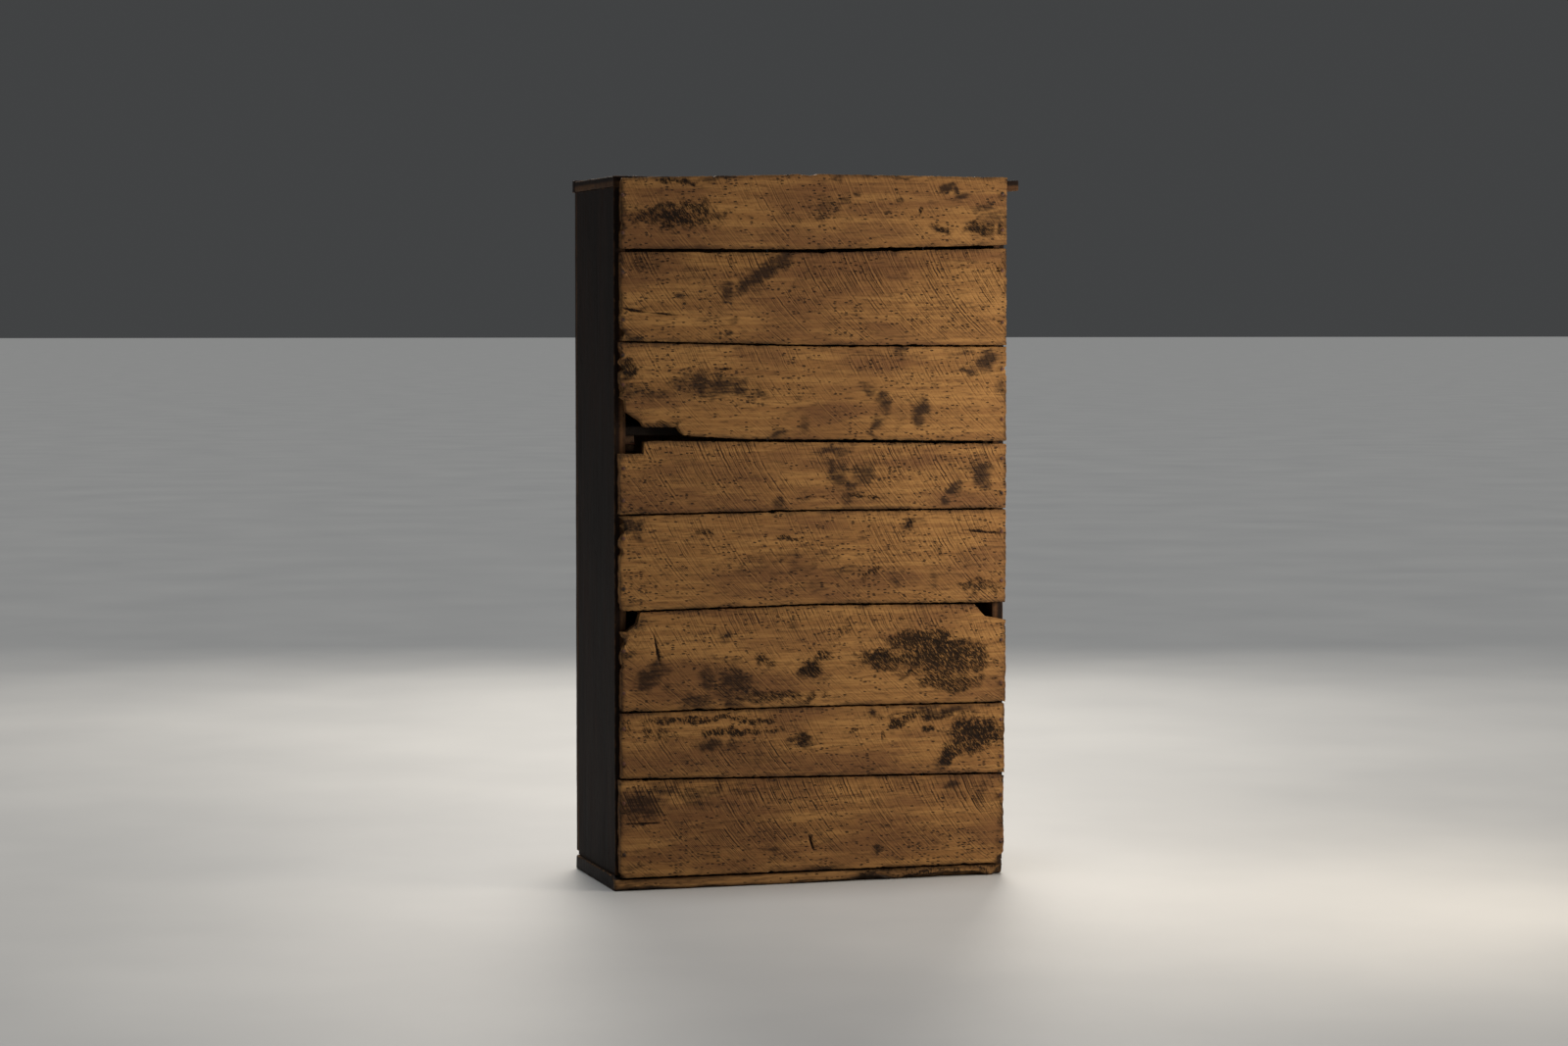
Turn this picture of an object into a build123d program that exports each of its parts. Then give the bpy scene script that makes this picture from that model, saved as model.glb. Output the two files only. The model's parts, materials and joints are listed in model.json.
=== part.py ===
from build123d import *
import os

# A tall rustic cupboard: a nailed board case, eight rough back planks, and two plank doors that hang
# on iron strap hinges in a front frame and are held shut by a wooden turn button.
#
# Frame: +Z is up and the floor is Z = 0. The doors face -Y and the back planks face +Y. Left is -X,
# as seen by someone in front of the doors. The origin is on the floor under the middle of the case.

# ---- Driving dimensions, in millimetres ----

# Case
case_width = 756  # over the two sides
case_top = 1310  # upper face of the top board
side_depth = 290
side_thick = 22
top_thick = 20
base_thick = 27
back_y = 153  # back edges of the sides, on which the planks are nailed
top_overhang_left = 29  # the top board runs past the left side, but not past the right one
base_overhang_right = 5
base_lip_height = 21  # the base board's rebated back edge, under the lowest plank
base_lip_set_back = 3  # from the planks' faces to the lip
base_lip_wear = 5  # worn radius of the lip's lower edge
edge_ease = 1.2  # worn radius along the long edges of the planed boards

# Nosing under the front edge of the top
nosing_height = 24
nosing_thick = 20
nosing_proud = 3  # stands this much above the top board

# Front frame
frame_thick = 16
frame_foot = 33  # the stiles stop a little above the base board
stile_width = 60
top_rail_height = 68
bottom_rail_height = 50
tenon_length = 34
tenon_thick = 6
tenon_shoulder = 10
tenon_clearance = 0.3
peg_radius = 4

# Shelves
shelf_thick = 16
upper_shelf_top = 852
lower_shelf_top = 440
shelf_end_gap = 1
shelf_front_gap = 2  # between a shut door and a shelf's front edge
cleat_height = 30
cleat_thick = 18

# Back planks. Each joint runs from the right end, past the middle, to the left end of the back.
plank_thick = 22
plank_top_heights = (1306, 1317, 1315)
joint_heights = [
    (1174, 1175, 1185),
    (1008, 1000, 999),
    (830, 824, 818),
    (691, 695, 693),
    (514, 520, 515),
    (329, 330, 327),
    (206, 199, 193),
]
plank_bottom_heights = (24, 23.5, 22.5)
joint_gaps = [5, 2, 4, 2, 2.5, 2, 2.5]
right_end_insets = (9, 8, 5, 5, 5, 7, 7, 4)
left_end_insets = (1, 1, 1, 1, 1, 1, 3, 4)
nail_inset = 11.5  # from the outside of a side to the line of the plank nails
nail_edge = 0.24  # share of a plank's height between a nail and the plank's edge

# Doors
door_gap = 3
door_board_gap = 0.6
door_board_count = 3
batten_width = 80
batten_thick = 16
batten_outer_inset = 14
batten_inner_inset = 8
batten_levels = {"top": 1100, "middle": 650, "bottom": 210}

# Strap hinges. The pin stands proud of the frame, so that a door swings right round.
hinge_levels = {"upper": 1100, "lower": 210}
iron_thick = 2.5
knuckle_radius = 5
pin_radius = 2.5
pin_clearance = 0.06
pin_stand_off = 5.5
knuckle_gap = 0.4
strap_reach = 196
strap_root_height = 34
strap_tip_height = 17
strap_spade_radius = 14
leaf_height = 100
leaf_width = 30
leaf_slot_width = 6.5  # iron cut away round the strap's knuckle

# Knobs and turn button
knob_inset = 36  # from the meeting edge of the doors
knob_level = 655
knob_tenon_radius = 6
button_level = 1243
button_length = 84
button_height = 22
button_tip_height = 15
button_thick = 12
button_gap = 0.8
screw_radius = 2.5
screw_head_radius = 5.5
screw_head_height = 3

# Nails
nail_radius = 1.6
nail_head_radius = 3.6
nail_head_height = 1.4

# ---- Positions that follow from them ----

half_width = case_width / 2
side_front_y = back_y - side_depth
face_y = side_front_y - frame_thick
plank_face_y = back_y + plank_thick
side_top = case_top - top_thick
opening_half = half_width - stile_width
opening_low = frame_foot + bottom_rail_height
opening_high = side_top - top_rail_height
door_low = opening_low + door_gap
door_high = opening_high - door_gap
door_outer_x = opening_half - door_gap
door_inner_x = door_gap / 2
door_back_y = face_y + frame_thick
axis_x = opening_half - door_gap / 2
axis_y = face_y - pin_stand_off
hands = {"left": -1, "right": 1}

os.makedirs("parts", exist_ok=True)


# ---- Helpers ----


def finish(piece, name):
    """Labels a finished piece and writes it."""
    piece.part.label = name
    export_step(piece.part, f"parts/{name}.step")


def board(name, x_span, y_span, z_span, grain, ease=edge_ease):
    """A straight board that fills three spans, with the edges along its grain worn round."""
    with BuildPart() as piece:
        with BuildSketch(Plane.XY.offset(min(z_span))):
            with Locations((sum(x_span) / 2, sum(y_span) / 2)):
                Rectangle(abs(x_span[1] - x_span[0]), abs(y_span[1] - y_span[0]))
        extrude(amount=abs(z_span[1] - z_span[0]))
        fillet(piece.edges().filter_by(grain), radius=ease)
    finish(piece, name)


def nails(name, places, length):
    """Separate nails: each place is a head's seat and the way its shank points."""
    with BuildPart() as piece:
        for seat, way in places:
            plane = Plane(origin=seat, z_dir=way)
            with BuildSketch(plane):
                Circle(nail_radius)
            extrude(amount=length)
            with BuildSketch(plane):
                Circle(nail_head_radius)
            extrude(amount=-nail_head_height, taper=35)
    finish(piece, name)


# ---- Case ----


def make_base():
    """The board that the sides stand on. The lowest plank hangs over its rebated back edge."""
    lip_y = plank_face_y - base_lip_set_back
    with BuildPart() as base:
        with BuildSketch(Plane.YZ.offset(-half_width)):
            with BuildLine():
                Polyline(
                    (side_front_y, 0), (lip_y, 0), (lip_y, base_lip_height), (back_y, base_lip_height),
                    (back_y, base_thick), (side_front_y, base_thick),
                    close=True,
                )
            make_face()
        extrude(amount=2 * half_width + base_overhang_right)
        long_edges = base.edges().filter_by(Axis.X)
        worn_edge = long_edges.group_by(Axis.Y)[-1].sort_by(Axis.Z)[0]
        fillet(worn_edge, radius=base_lip_wear)
        fillet(base.edges().filter_by(Axis.X).group_by(Axis.Y)[0], radius=edge_ease)
    finish(base, "base_board")


def make_case():
    """The two sides, the top and the nosing along its front edge."""
    for name, hand in hands.items():
        x_span = (hand * half_width, hand * (half_width - side_thick))
        board(f"{name}_side", x_span, (side_front_y, back_y), (base_thick, side_top), Axis.Z)
    top_x = (-half_width - top_overhang_left, half_width)
    board("top_board", top_x, (face_y, back_y), (side_top, case_top), Axis.X)
    nosing_high = case_top + nosing_proud
    nosing_y = (face_y - nosing_thick, face_y)
    board("top_nosing", top_x, nosing_y, (nosing_high - nosing_height, nosing_high), Axis.X, ease=4)


def make_front_frame():
    """Two stiles and two rails. The rails' tenons sit in blind mortises and are pegged."""
    mid_y = (face_y + side_front_y) / 2
    rails = {
        "top": (opening_high, side_top),
        "bottom": (frame_foot, opening_low),
    }
    for name, (low, high) in rails.items():
        with BuildPart() as rail:
            with BuildSketch(Plane.YZ.offset(-opening_half)):
                with Locations((mid_y, (low + high) / 2)):
                    Rectangle(frame_thick, high - low)
            extrude(amount=2 * opening_half)
            with BuildSketch(Plane.YZ.offset(-opening_half - tenon_length)):
                with Locations((mid_y, (low + high) / 2)):
                    Rectangle(tenon_thick, high - low - 2 * tenon_shoulder)
            extrude(amount=2 * (opening_half + tenon_length))
        finish(rail, f"{name}_rail")

    for name, hand in hands.items():
        with BuildPart() as stile:
            with BuildSketch(Plane.XY.offset(frame_foot)):
                with Locations((hand * (half_width - stile_width / 2), mid_y)):
                    Rectangle(stile_width, frame_thick)
            extrude(amount=side_top - frame_foot)
            for low, high in rails.values():
                mortise = Plane.YZ.offset(hand * opening_half)
                with BuildSketch(mortise):
                    with Locations((mid_y, (low + high) / 2)):
                        Rectangle(
                            tenon_thick + 2 * tenon_clearance,
                            high - low - 2 * (tenon_shoulder - tenon_clearance),
                        )
                extrude(amount=hand * (tenon_length + tenon_clearance), mode=Mode.SUBTRACT)
        finish(stile, f"{name}_stile")

    with BuildPart() as pegs:
        for low, high in rails.values():
            for hand in hands.values():
                for share in (0.32, 0.68):
                    x = hand * (opening_half + tenon_length / 2)
                    z = low + share * (high - low)
                    with BuildSketch(Plane(origin=(x, face_y - 0.8, z), z_dir=(0, 1, 0))):
                        RegularPolygon(peg_radius, 8)
                    extrude(amount=frame_thick)
    finish(pegs, "frame_pegs")


def make_shelves():
    """Two loose-fitting shelves, each nailed down on a cleat at either end."""
    inner_x = half_width - side_thick
    for name, shelf_top in (("upper", upper_shelf_top), ("lower", lower_shelf_top)):
        x = inner_x - shelf_end_gap
        y_span = (side_front_y + shelf_front_gap, back_y - 1)
        board(f"{name}_shelf", (-x, x), y_span, (shelf_top - shelf_thick, shelf_top), Axis.X)
        cleat_top = shelf_top - shelf_thick
        for side, hand in hands.items():
            cleat_x = (hand * inner_x, hand * (inner_x - cleat_thick))
            cleat_y = (side_front_y + 12, back_y - 8)
            cleat_z = (cleat_top - cleat_height, cleat_top)
            board(f"{name}_{side}_cleat", cleat_x, cleat_y, cleat_z, Axis.Y)


# ---- Back planks ----


def plank_cuts():
    """Broken and rotted corners of the planks, as outlines in X and Z."""
    right = half_width
    left = -half_width
    return {
        # Lower right corner split away along the grain, back to a long feather edge.
        3: [
            (right, 908), (right - 17, 899), (right - 18, 880), (right - 47, 860),
            (right - 53, 851), (right - 112, 850), (right - 128, 835), (right - 240, 828),
            (right - 240, 820), (right, 820),
        ],
        # Upper right corner sawn down in a step.
        4: [(right, 804), (right - 50, 804), (right - 50, 822), (right - 52, 835), (right, 835)],
        # Both upper corners rotted away.
        6: [(right, 478), (right - 18, 478), (right - 40, 494), (right - 43, 522), (right, 522)],
        6.5: [(left, 484), (left + 44, 492), (left + 70, 522), (left, 522)],
    }


def make_back_planks():
    """Eight planks across the back, each with its own taper, from the top down."""
    edges = [plank_top_heights, *joint_heights, plank_bottom_heights]
    gaps = [0, *joint_gaps, 0]
    cuts = plank_cuts()
    for number in range(1, len(edges)):
        right = half_width - right_end_insets[number - 1]
        left = -half_width + left_end_insets[number - 1]
        stations = (right, 0, left)
        upper = [(x, z - gaps[number - 1] / 2) for x, z in zip(stations, edges[number - 1])]
        lower = [(x, z + gaps[number] / 2) for x, z in zip(stations, edges[number])]
        outlines = [cuts[key] for key in cuts if int(key) == number]
        with BuildPart() as plank:
            # A sketch on this plane reads X and Z, and is pulled forwards from the rough face.
            with BuildSketch(Plane.XZ.offset(-plank_face_y)):
                with BuildLine():
                    Polyline(*upper, *reversed(lower), close=True)
                make_face()
                for outline in outlines:
                    with BuildLine():
                        Polyline(*outline, close=True)
                    make_face(mode=Mode.SUBTRACT)
            extrude(amount=plank_thick)
        finish(plank, f"back_plank_{number}")


def plank_nail_places():
    """Two nails through each end of each plank, into the back edges of the sides."""
    edges = [plank_top_heights, *joint_heights, plank_bottom_heights]
    # Sound wood starts here where a corner is broken: (plank, end) to the height of that edge.
    sound_low = {(3, 0): 905}
    sound_high = {(4, 0): 804, (6, 0): 478, (6, 2): 484}
    places = []
    for number in range(1, len(edges)):
        for end, x in ((0, half_width - nail_inset), (2, -half_width + nail_inset)):
            high = sound_high.get((number, end), edges[number - 1][end])
            low = sound_low.get((number, end), edges[number][end])
            for share in (nail_edge, 1 - nail_edge):
                places.append(((x, plank_face_y, low + share * (high - low)), (0, -1, 0)))
    return places


# ---- Doors ----


def make_doors():
    """Each door is three boards side by side, held by three battens nailed across the inside."""
    width = door_outer_x - door_inner_x
    board_width = (width - (door_board_count - 1) * door_board_gap) / door_board_count
    pitch = board_width + door_board_gap
    knob_plane = Plane.XZ.offset(-door_back_y)
    for side, hand in hands.items():
        for index in range(door_board_count):
            inner = door_inner_x + index * pitch
            with BuildPart() as door_board:
                with BuildSketch(Plane.XY.offset(door_low)):
                    with Locations((hand * (inner + board_width / 2), (face_y + door_back_y) / 2)):
                        Rectangle(board_width, frame_thick)
                extrude(amount=door_high - door_low)
                fillet(door_board.edges().filter_by(Axis.Z), radius=edge_ease)
                if index == 0:
                    # The knob's tenon passes through the board at the meeting edge.
                    with BuildSketch(knob_plane):
                        with Locations((hand * knob_inset, knob_level)):
                            Circle(knob_tenon_radius)
                    extrude(amount=frame_thick, mode=Mode.SUBTRACT)
            finish(door_board, f"{side}_door_board_{index + 1}")
        for level_name, level in batten_levels.items():
            x_span = (
                hand * (door_inner_x + batten_inner_inset),
                hand * (door_outer_x - batten_outer_inset),
            )
            z_span = (level - batten_width / 2, level + batten_width / 2)
            y_span = (door_back_y, door_back_y + batten_thick)
            board(f"{side}_door_batten_{level_name}", x_span, y_span, z_span, Axis.X, ease=3)
        places = []
        for level in batten_levels.values():
            for index in range(door_board_count):
                centre = door_inner_x + index * pitch + board_width / 2
                for shift, drop in ((-30, -24), (30, 24)):
                    places.append(((hand * (centre + shift), face_y, level + drop), (0, 1, 0)))
        nails(f"{side}_door_nails", places, frame_thick + batten_thick - 2)


def make_knobs():
    """Turned wooden knobs. The profile is half of the knob, from the end of its tenon outwards."""
    for side, hand in hands.items():
        centre = (hand * knob_inset, face_y, knob_level)
        with BuildPart() as knob:
            with BuildSketch(Plane(origin=centre, x_dir=(1, 0, 0), z_dir=(0, 0, 1))):
                with BuildLine():
                    Polyline((0, 0), (0, frame_thick), (knob_tenon_radius, frame_thick))
                    Polyline((knob_tenon_radius, frame_thick), (knob_tenon_radius, 0), (11, 0), (11, -2.5))
                    Spline((11, -2.5), (7.5, -8), (10, -13), (16, -17))
                    Spline((16, -17), (16.5, -20), (11, -25), (0, -27))
                    Line((0, -27), (0, 0))
                make_face()
            revolve(axis=Axis(origin=centre, direction=(0, 1, 0)))
        finish(knob, f"{side}_knob")


# ---- Hinges ----


def hinge_plane(hand, level, way):
    """On the front face at the pin's line: X runs to the door for way = 1, to the side for -1."""
    return Plane(
        origin=(hand * axis_x, face_y, level), x_dir=(-hand * way, 0, 0), z_dir=(0, -1, 0)
    )


def knuckle(hand, low, high, radius, mode=Mode.ADD):
    """A length of the barrel, or of its bore, between two heights."""
    with BuildSketch(Plane.XY.offset(low)) as ring:
        with Locations((hand * axis_x, axis_y)):
            Circle(radius)
    extrude(ring.sketch, amount=high - low, mode=mode)


def make_hinges():
    """Four strap hinges: a leaf on the stile, a strap on the door, and one pin through both."""
    half_root = strap_root_height / 2
    leaf_middle = half_root + knuckle_gap
    for side, hand in hands.items():
        for level_name, level in hinge_levels.items():
            with BuildPart() as strap:
                with BuildSketch(hinge_plane(hand, level, 1)):
                    with BuildLine():
                        Polyline(
                            (0, -half_root), (30, -half_root), (strap_reach, -strap_tip_height / 2),
                            (strap_reach, strap_tip_height / 2), (30, half_root), (0, half_root),
                            close=True,
                        )
                    make_face()
                    with Locations((strap_reach, 0)):
                        Circle(strap_spade_radius)
                extrude(amount=iron_thick)
                knuckle(hand, level - half_root, level + half_root, knuckle_radius)
                bore = pin_radius + pin_clearance
                knuckle(hand, level - half_root, level + half_root, bore, Mode.SUBTRACT)
            finish(strap, f"{side}_{level_name}_strap")

            with BuildPart() as leaf:
                with BuildSketch(hinge_plane(hand, level, -1)):
                    with Locations((leaf_width / 2, 0)):
                        Rectangle(leaf_width, leaf_height)
                    with Locations((leaf_slot_width / 2, 0)):
                        Rectangle(leaf_slot_width, 2 * leaf_middle, mode=Mode.SUBTRACT)
                extrude(amount=iron_thick)
                for low, high in ((-leaf_height / 2, -leaf_middle), (leaf_middle, leaf_height / 2)):
                    knuckle(hand, level + low, level + high, knuckle_radius)
                    knuckle(hand, level + low, level + high, pin_radius, Mode.SUBTRACT)
            finish(leaf, f"{side}_{level_name}_leaf")

    with BuildPart() as pins:
        for hand in hands.values():
            for level in hinge_levels.values():
                half_pin = leaf_height / 2
                knuckle(hand, level - half_pin, level + half_pin, pin_radius)
                knuckle(hand, level + half_pin, level + half_pin + 2, pin_radius + 1.5)
                knuckle(hand, level - half_pin - 2, level - half_pin, pin_radius + 1.5)
    finish(pins, "hinge_pins")

    iron_y = face_y - iron_thick
    leaf_places = [
        ((hand * (axis_x + 19), iron_y, level + drop), (0, 1, 0))
        for hand in hands.values()
        for level in hinge_levels.values()
        for drop in (-38, -13, 13, 38)
    ]
    nails("hinge_leaf_nails", leaf_places, frame_thick)
    for side, hand in hands.items():
        strap_places = [
            ((hand * (axis_x - reach), iron_y, level), (0, 1, 0))
            for level in hinge_levels.values()
            for reach in (24, 78, 136, strap_reach)
        ]
        nails(f"{side}_strap_nails", strap_places, frame_thick + batten_thick - 2)


# ---- Turn button ----


def make_turn_button():
    """A whittled button that spins on one screw. It lies level, clear of the doors, when open."""
    half = button_length / 2
    back = face_y - button_gap
    front_plane = Plane(origin=(0, back, button_level), x_dir=(1, 0, 0), z_dir=(0, -1, 0))
    with BuildPart() as button:
        with BuildSketch(front_plane):
            with BuildLine():
                Polyline(
                    (-half, -button_tip_height / 2), (-half / 3, -button_height / 2),
                    (half / 3, -button_height / 2), (half, -button_tip_height / 2),
                    (half, button_tip_height / 2), (half / 3, button_height / 2),
                    (-half / 3, button_height / 2), (-half, button_tip_height / 2),
                    close=True,
                )
            make_face()
        extrude(amount=button_thick)
        fillet(button.edges().filter_by(Axis.Y), radius=3)
        chamfer(button.faces().sort_by(Axis.Y)[0].edges(), length=2)
        with BuildSketch(front_plane):
            Circle(screw_radius + pin_clearance)
        extrude(amount=button_thick, mode=Mode.SUBTRACT)
    finish(button, "turn_button")

    seat = back - button_thick - 0.4
    with BuildPart() as screw:
        with BuildSketch(Plane(origin=(0, seat, button_level), z_dir=(0, 1, 0))):
            Circle(screw_radius)
        extrude(amount=door_back_y - 2 - seat)
        head_plane = Plane(origin=(0, seat, button_level), x_dir=(1, 0, 0), z_dir=(0, -1, 0))
        with BuildSketch(head_plane):
            Circle(screw_head_radius)
        extrude(amount=screw_head_height, taper=25)
        with BuildSketch(head_plane.offset(screw_head_height)):
            Rectangle(3 * screw_head_radius, 1.2)
        extrude(amount=-1.4, mode=Mode.SUBTRACT)
    finish(screw, "button_screw")


# ---- Nails of the case ----


def make_case_nails():
    """Nails through the planks, the top, the base, the nosing, the frame and the shelves."""
    nails("back_plank_nails", plank_nail_places(), 52)

    side_line = half_width - side_thick / 2
    ys = (side_front_y + 35, (side_front_y + back_y) / 2, back_y - 35)
    case_places = []
    for hand in hands.values():
        for y in ys:
            case_places.append(((hand * side_line, y, case_top), (0, 0, -1)))
            # The base nails' heads are sunk, so that the cupboard stands on wood.
            case_places.append(((hand * side_line, y, nail_head_height + 1), (0, 0, 1)))
    nosing_z = side_top + top_thick / 2
    nosing_y = face_y - nosing_thick
    for step in range(-2, 3):
        x = -top_overhang_left / 2 + step * case_width / 4.4
        case_places.append(((x, nosing_y, nosing_z), (0, 1, 0)))
    nails("case_nails", case_places, 48)

    frame_places = [
        ((hand * side_line, face_y, frame_foot + share * (side_top - frame_foot)), (0, 1, 0))
        for hand in hands.values()
        for share in (0.07, 0.36, 0.64, 0.93)
    ]
    nails("frame_nails", frame_places, 45)

    shelf_places = []
    inner_x = half_width - side_thick
    for shelf_top in (upper_shelf_top, lower_shelf_top):
        for hand in hands.values():
            for y in (ys[0], ys[2]):
                cleat_z = shelf_top - shelf_thick - cleat_height / 2
                shelf_places.append(((hand * (inner_x - cleat_thick / 2), y, shelf_top), (0, 0, -1)))
                cleat_seat = (hand * (inner_x - cleat_thick), y + 30, cleat_z)
                shelf_places.append((cleat_seat, (hand, 0, 0)))
    nails("shelf_nails", shelf_places, 32)


make_base()
make_case()
make_front_frame()
make_shelves()
make_back_planks()
make_doors()
make_knobs()
make_hinges()
make_turn_button()
make_case_nails()
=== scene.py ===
# %% [markdown]
# # An old plank cupboard, seen from behind
# The CAD frame gives every board, nail and hinge its exact place. This lesson puts a worn,
# hand-made skin on each of them. Everything is in metres, in the frame of the CAD model.

# %% Load the frame
import json
import math

import bmesh
import bpy
import numpy as np
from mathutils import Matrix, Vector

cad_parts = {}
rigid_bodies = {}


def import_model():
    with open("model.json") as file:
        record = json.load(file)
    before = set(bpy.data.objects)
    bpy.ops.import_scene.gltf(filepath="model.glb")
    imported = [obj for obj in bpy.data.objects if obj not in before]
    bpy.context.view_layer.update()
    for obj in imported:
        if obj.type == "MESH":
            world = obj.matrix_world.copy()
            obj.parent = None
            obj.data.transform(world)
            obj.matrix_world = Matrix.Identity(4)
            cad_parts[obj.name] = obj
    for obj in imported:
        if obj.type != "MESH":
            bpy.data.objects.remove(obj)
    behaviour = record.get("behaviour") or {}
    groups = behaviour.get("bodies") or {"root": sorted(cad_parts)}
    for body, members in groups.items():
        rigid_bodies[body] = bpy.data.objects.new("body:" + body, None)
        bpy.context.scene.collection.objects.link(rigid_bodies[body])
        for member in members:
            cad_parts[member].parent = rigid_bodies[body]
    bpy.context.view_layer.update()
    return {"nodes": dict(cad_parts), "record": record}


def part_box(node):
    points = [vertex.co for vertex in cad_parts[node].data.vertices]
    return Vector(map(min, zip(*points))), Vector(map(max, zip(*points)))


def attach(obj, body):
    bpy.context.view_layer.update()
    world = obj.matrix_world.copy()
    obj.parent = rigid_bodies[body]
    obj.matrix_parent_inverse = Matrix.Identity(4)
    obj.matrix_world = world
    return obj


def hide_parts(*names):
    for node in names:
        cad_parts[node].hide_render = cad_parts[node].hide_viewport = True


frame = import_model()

body_of = {
    node: body
    for body, nodes in frame["record"]["behaviour"]["bodies"].items()
    for node in nodes
}
print("nodes in the frame:", len(body_of))

# %% [markdown]
# ## Camera, light and floor
# The cupboard stands on a plain pale floor. A small soft lamp shines on the back from close on the
# right, because light that rakes across rough boards shows their saw marks. A large soft lamp
# lights the doors, and an overhead lamp and a pale sky fill in the rest.

# %% Camera
def look_from(item, place, turn, pitch):
    """Puts a camera or lamp at a place, turned about the vertical and then pitched down."""
    item.location = place
    item.rotation_euler = (math.pi / 2 - pitch, 0, math.pi - turn)
    bpy.context.scene.collection.objects.link(item)
    return item


camera_data = bpy.data.cameras.new("camera")
camera_data.lens = 85
camera_data.sensor_width = 36
camera = look_from(
    bpy.data.objects.new("camera", camera_data), (2.0097, 6.7286, 1.0375), 0.2891, 0.0533
)
bpy.context.scene.camera = camera
print("camera height:", round(camera.location.z, 3))


# %% Colours and nodes
def linear(hex_colour):
    """The linear colour of an sRGB hex value such as "8f6a45"."""
    parts = [int(hex_colour[k:k + 2], 16) / 255 for k in (0, 2, 4)]
    return [p / 12.92 if p <= 0.04045 else ((p + 0.055) / 1.055) ** 2.4 for p in parts] + [1.0]


def add(tree, kind, feeds=None, out=0, **settings):
    """Adds one node with its settings, feeds its inputs, and gives back one of its outputs."""
    node = tree.nodes.new(kind)
    for name, value in settings.items():
        setattr(node, name, value)
    for name, value in (feeds or {}).items():
        if isinstance(value, bpy.types.NodeSocket):
            tree.links.new(value, node.inputs[name])
        else:
            node.inputs[name].default_value = value
    return node.outputs[out] if len(node.outputs) else node


def new_material(name):
    """An empty material, with its node tree and its shader."""
    material = bpy.data.materials.new(name)
    material.use_nodes = True
    tree = material.node_tree
    return material, tree, tree.nodes["Principled BSDF"]


print("mid brown is", [round(c, 3) for c in linear("8f6a45")])

# %% Steps that a finish takes
# Each step: the node, the inputs that are fed in order, the output that is used, and the settings.
steps = {
    "plus": ("ShaderNodeMath", (0, 1), 0, {"operation": "ADD"}),
    "minus": ("ShaderNodeMath", (0, 1), 0, {"operation": "SUBTRACT"}),
    "times": ("ShaderNodeMath", (0, 1), 0, {"operation": "MULTIPLY"}),
    "times plus": ("ShaderNodeMath", (0, 1, 2), 0, {"operation": "MULTIPLY_ADD"}),
    "larger": ("ShaderNodeMath", (0, 1), 0, {"operation": "MAXIMUM"}),
    "below": ("ShaderNodeMath", (0, 1), 0, {"operation": "LESS_THAN"}),
    "sine": ("ShaderNodeMath", (0,), 0, {"operation": "SINE"}),
    "ease": ("ShaderNodeMapRange", (0, 1, 2, 3, 4), 0, {"interpolation_type": "SMOOTHSTEP"}),
    "mix": ("ShaderNodeMix", (0, 6, 7), 2, {"data_type": "RGBA"}),
    "stretch": ("ShaderNodeVectorMath", (0, 1), 0, {"operation": "MULTIPLY"}),
}
print("steps:", ", ".join(steps))


# %% Lamps and sky
def area_lamp(name, place, aim, size, watts, colour):
    """A soft square lamp that shines from a place towards a point."""
    data = bpy.data.lights.new(name, "AREA")
    data.size = size
    data.energy = watts
    data.color = linear(colour)[:3]
    lamp = bpy.data.objects.new(name, data)
    way = np.array(aim) - np.array(place)
    lamp.location = place
    lamp.rotation_euler = (
        math.atan2(math.hypot(way[0], way[1]), -way[2]), 0, math.atan2(way[1], way[0]) - math.pi / 2
    )
    lamp.visible_camera = False
    bpy.context.scene.collection.objects.link(lamp)
    return lamp


area_lamp("key_lamp", (-1.35, 1.05, 1.0), (-0.2, 0.175, 0.62), 0.7, 20, "fff0dc")
area_lamp("front_lamp", (-0.9, -3.4, 2.6), (0, -0.15, 0.7), 2.4, 120, "fff6ea")
overhead = bpy.data.lights.new("overhead_lamp", "SUN")
overhead.energy = 1.8
overhead.angle = 0.35
bpy.context.scene.collection.objects.link(bpy.data.objects.new("overhead_lamp", overhead))
world = bpy.data.worlds.new("studio")
world.use_nodes = True
world.node_tree.nodes["Background"].inputs["Color"].default_value = linear("b9bcbe")
world.node_tree.nodes["Background"].inputs["Strength"].default_value = 0.11
bpy.context.scene.world = world
bpy.context.scene.view_settings.view_transform = "Standard"

# %% Floor
floor_finish, tree, shader = new_material("trowelled_pale_cement")
# Trowelled cement: almost flat grey, with broad cloudy patches and a faint dull shine.
place = add(tree, "ShaderNodeTexCoord", out=3)
cloud = add(tree, "ShaderNodeTexNoise", {"Vector": place, "Scale": 1.7, "Detail": 6.0})
tone = add(tree, "ShaderNodeMix", {0: cloud, 6: linear("a5a6a6"), 7: linear("bcbcba")},
           out=2, data_type="RGBA")
tree.links.new(tone, shader.inputs["Base Color"])
shader.inputs["Roughness"].default_value = 0.55
floor_mesh = bpy.data.meshes.new("floor")
reach = 300  # metres
floor_corners = [(-reach, -reach, 0), (reach, -reach, 0), (reach, reach, 0), (-reach, reach, 0)]
floor_mesh.from_pydata(floor_corners, [], [(0, 1, 2, 3)])
floor_mesh.materials.append(floor_finish)
floor = bpy.data.objects.new("floor", floor_mesh)
bpy.context.scene.collection.objects.link(floor)
print("floor is", floor.dimensions.x, "m wide")

# %% [markdown]
# ## Noise that repeats
# Wear is uneven, so each board needs numbers that look random and are the same in every run.
# A hash of whole-numbered cells gives such numbers, and blending between cells makes them smooth.

# %% Noise
def hashed(cells, seed):
    """A repeatable value from 0 to 1 for each row of whole numbers."""
    mixed = cells.astype(np.int64) @ np.array([73856093, 19349663, 83492791]) + seed * 26544357
    mixed = (mixed ^ (mixed >> 13)) * 1274126177
    return ((mixed ^ (mixed >> 16)) & 0xFFFFFF) / 0xFFFFFF


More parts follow.
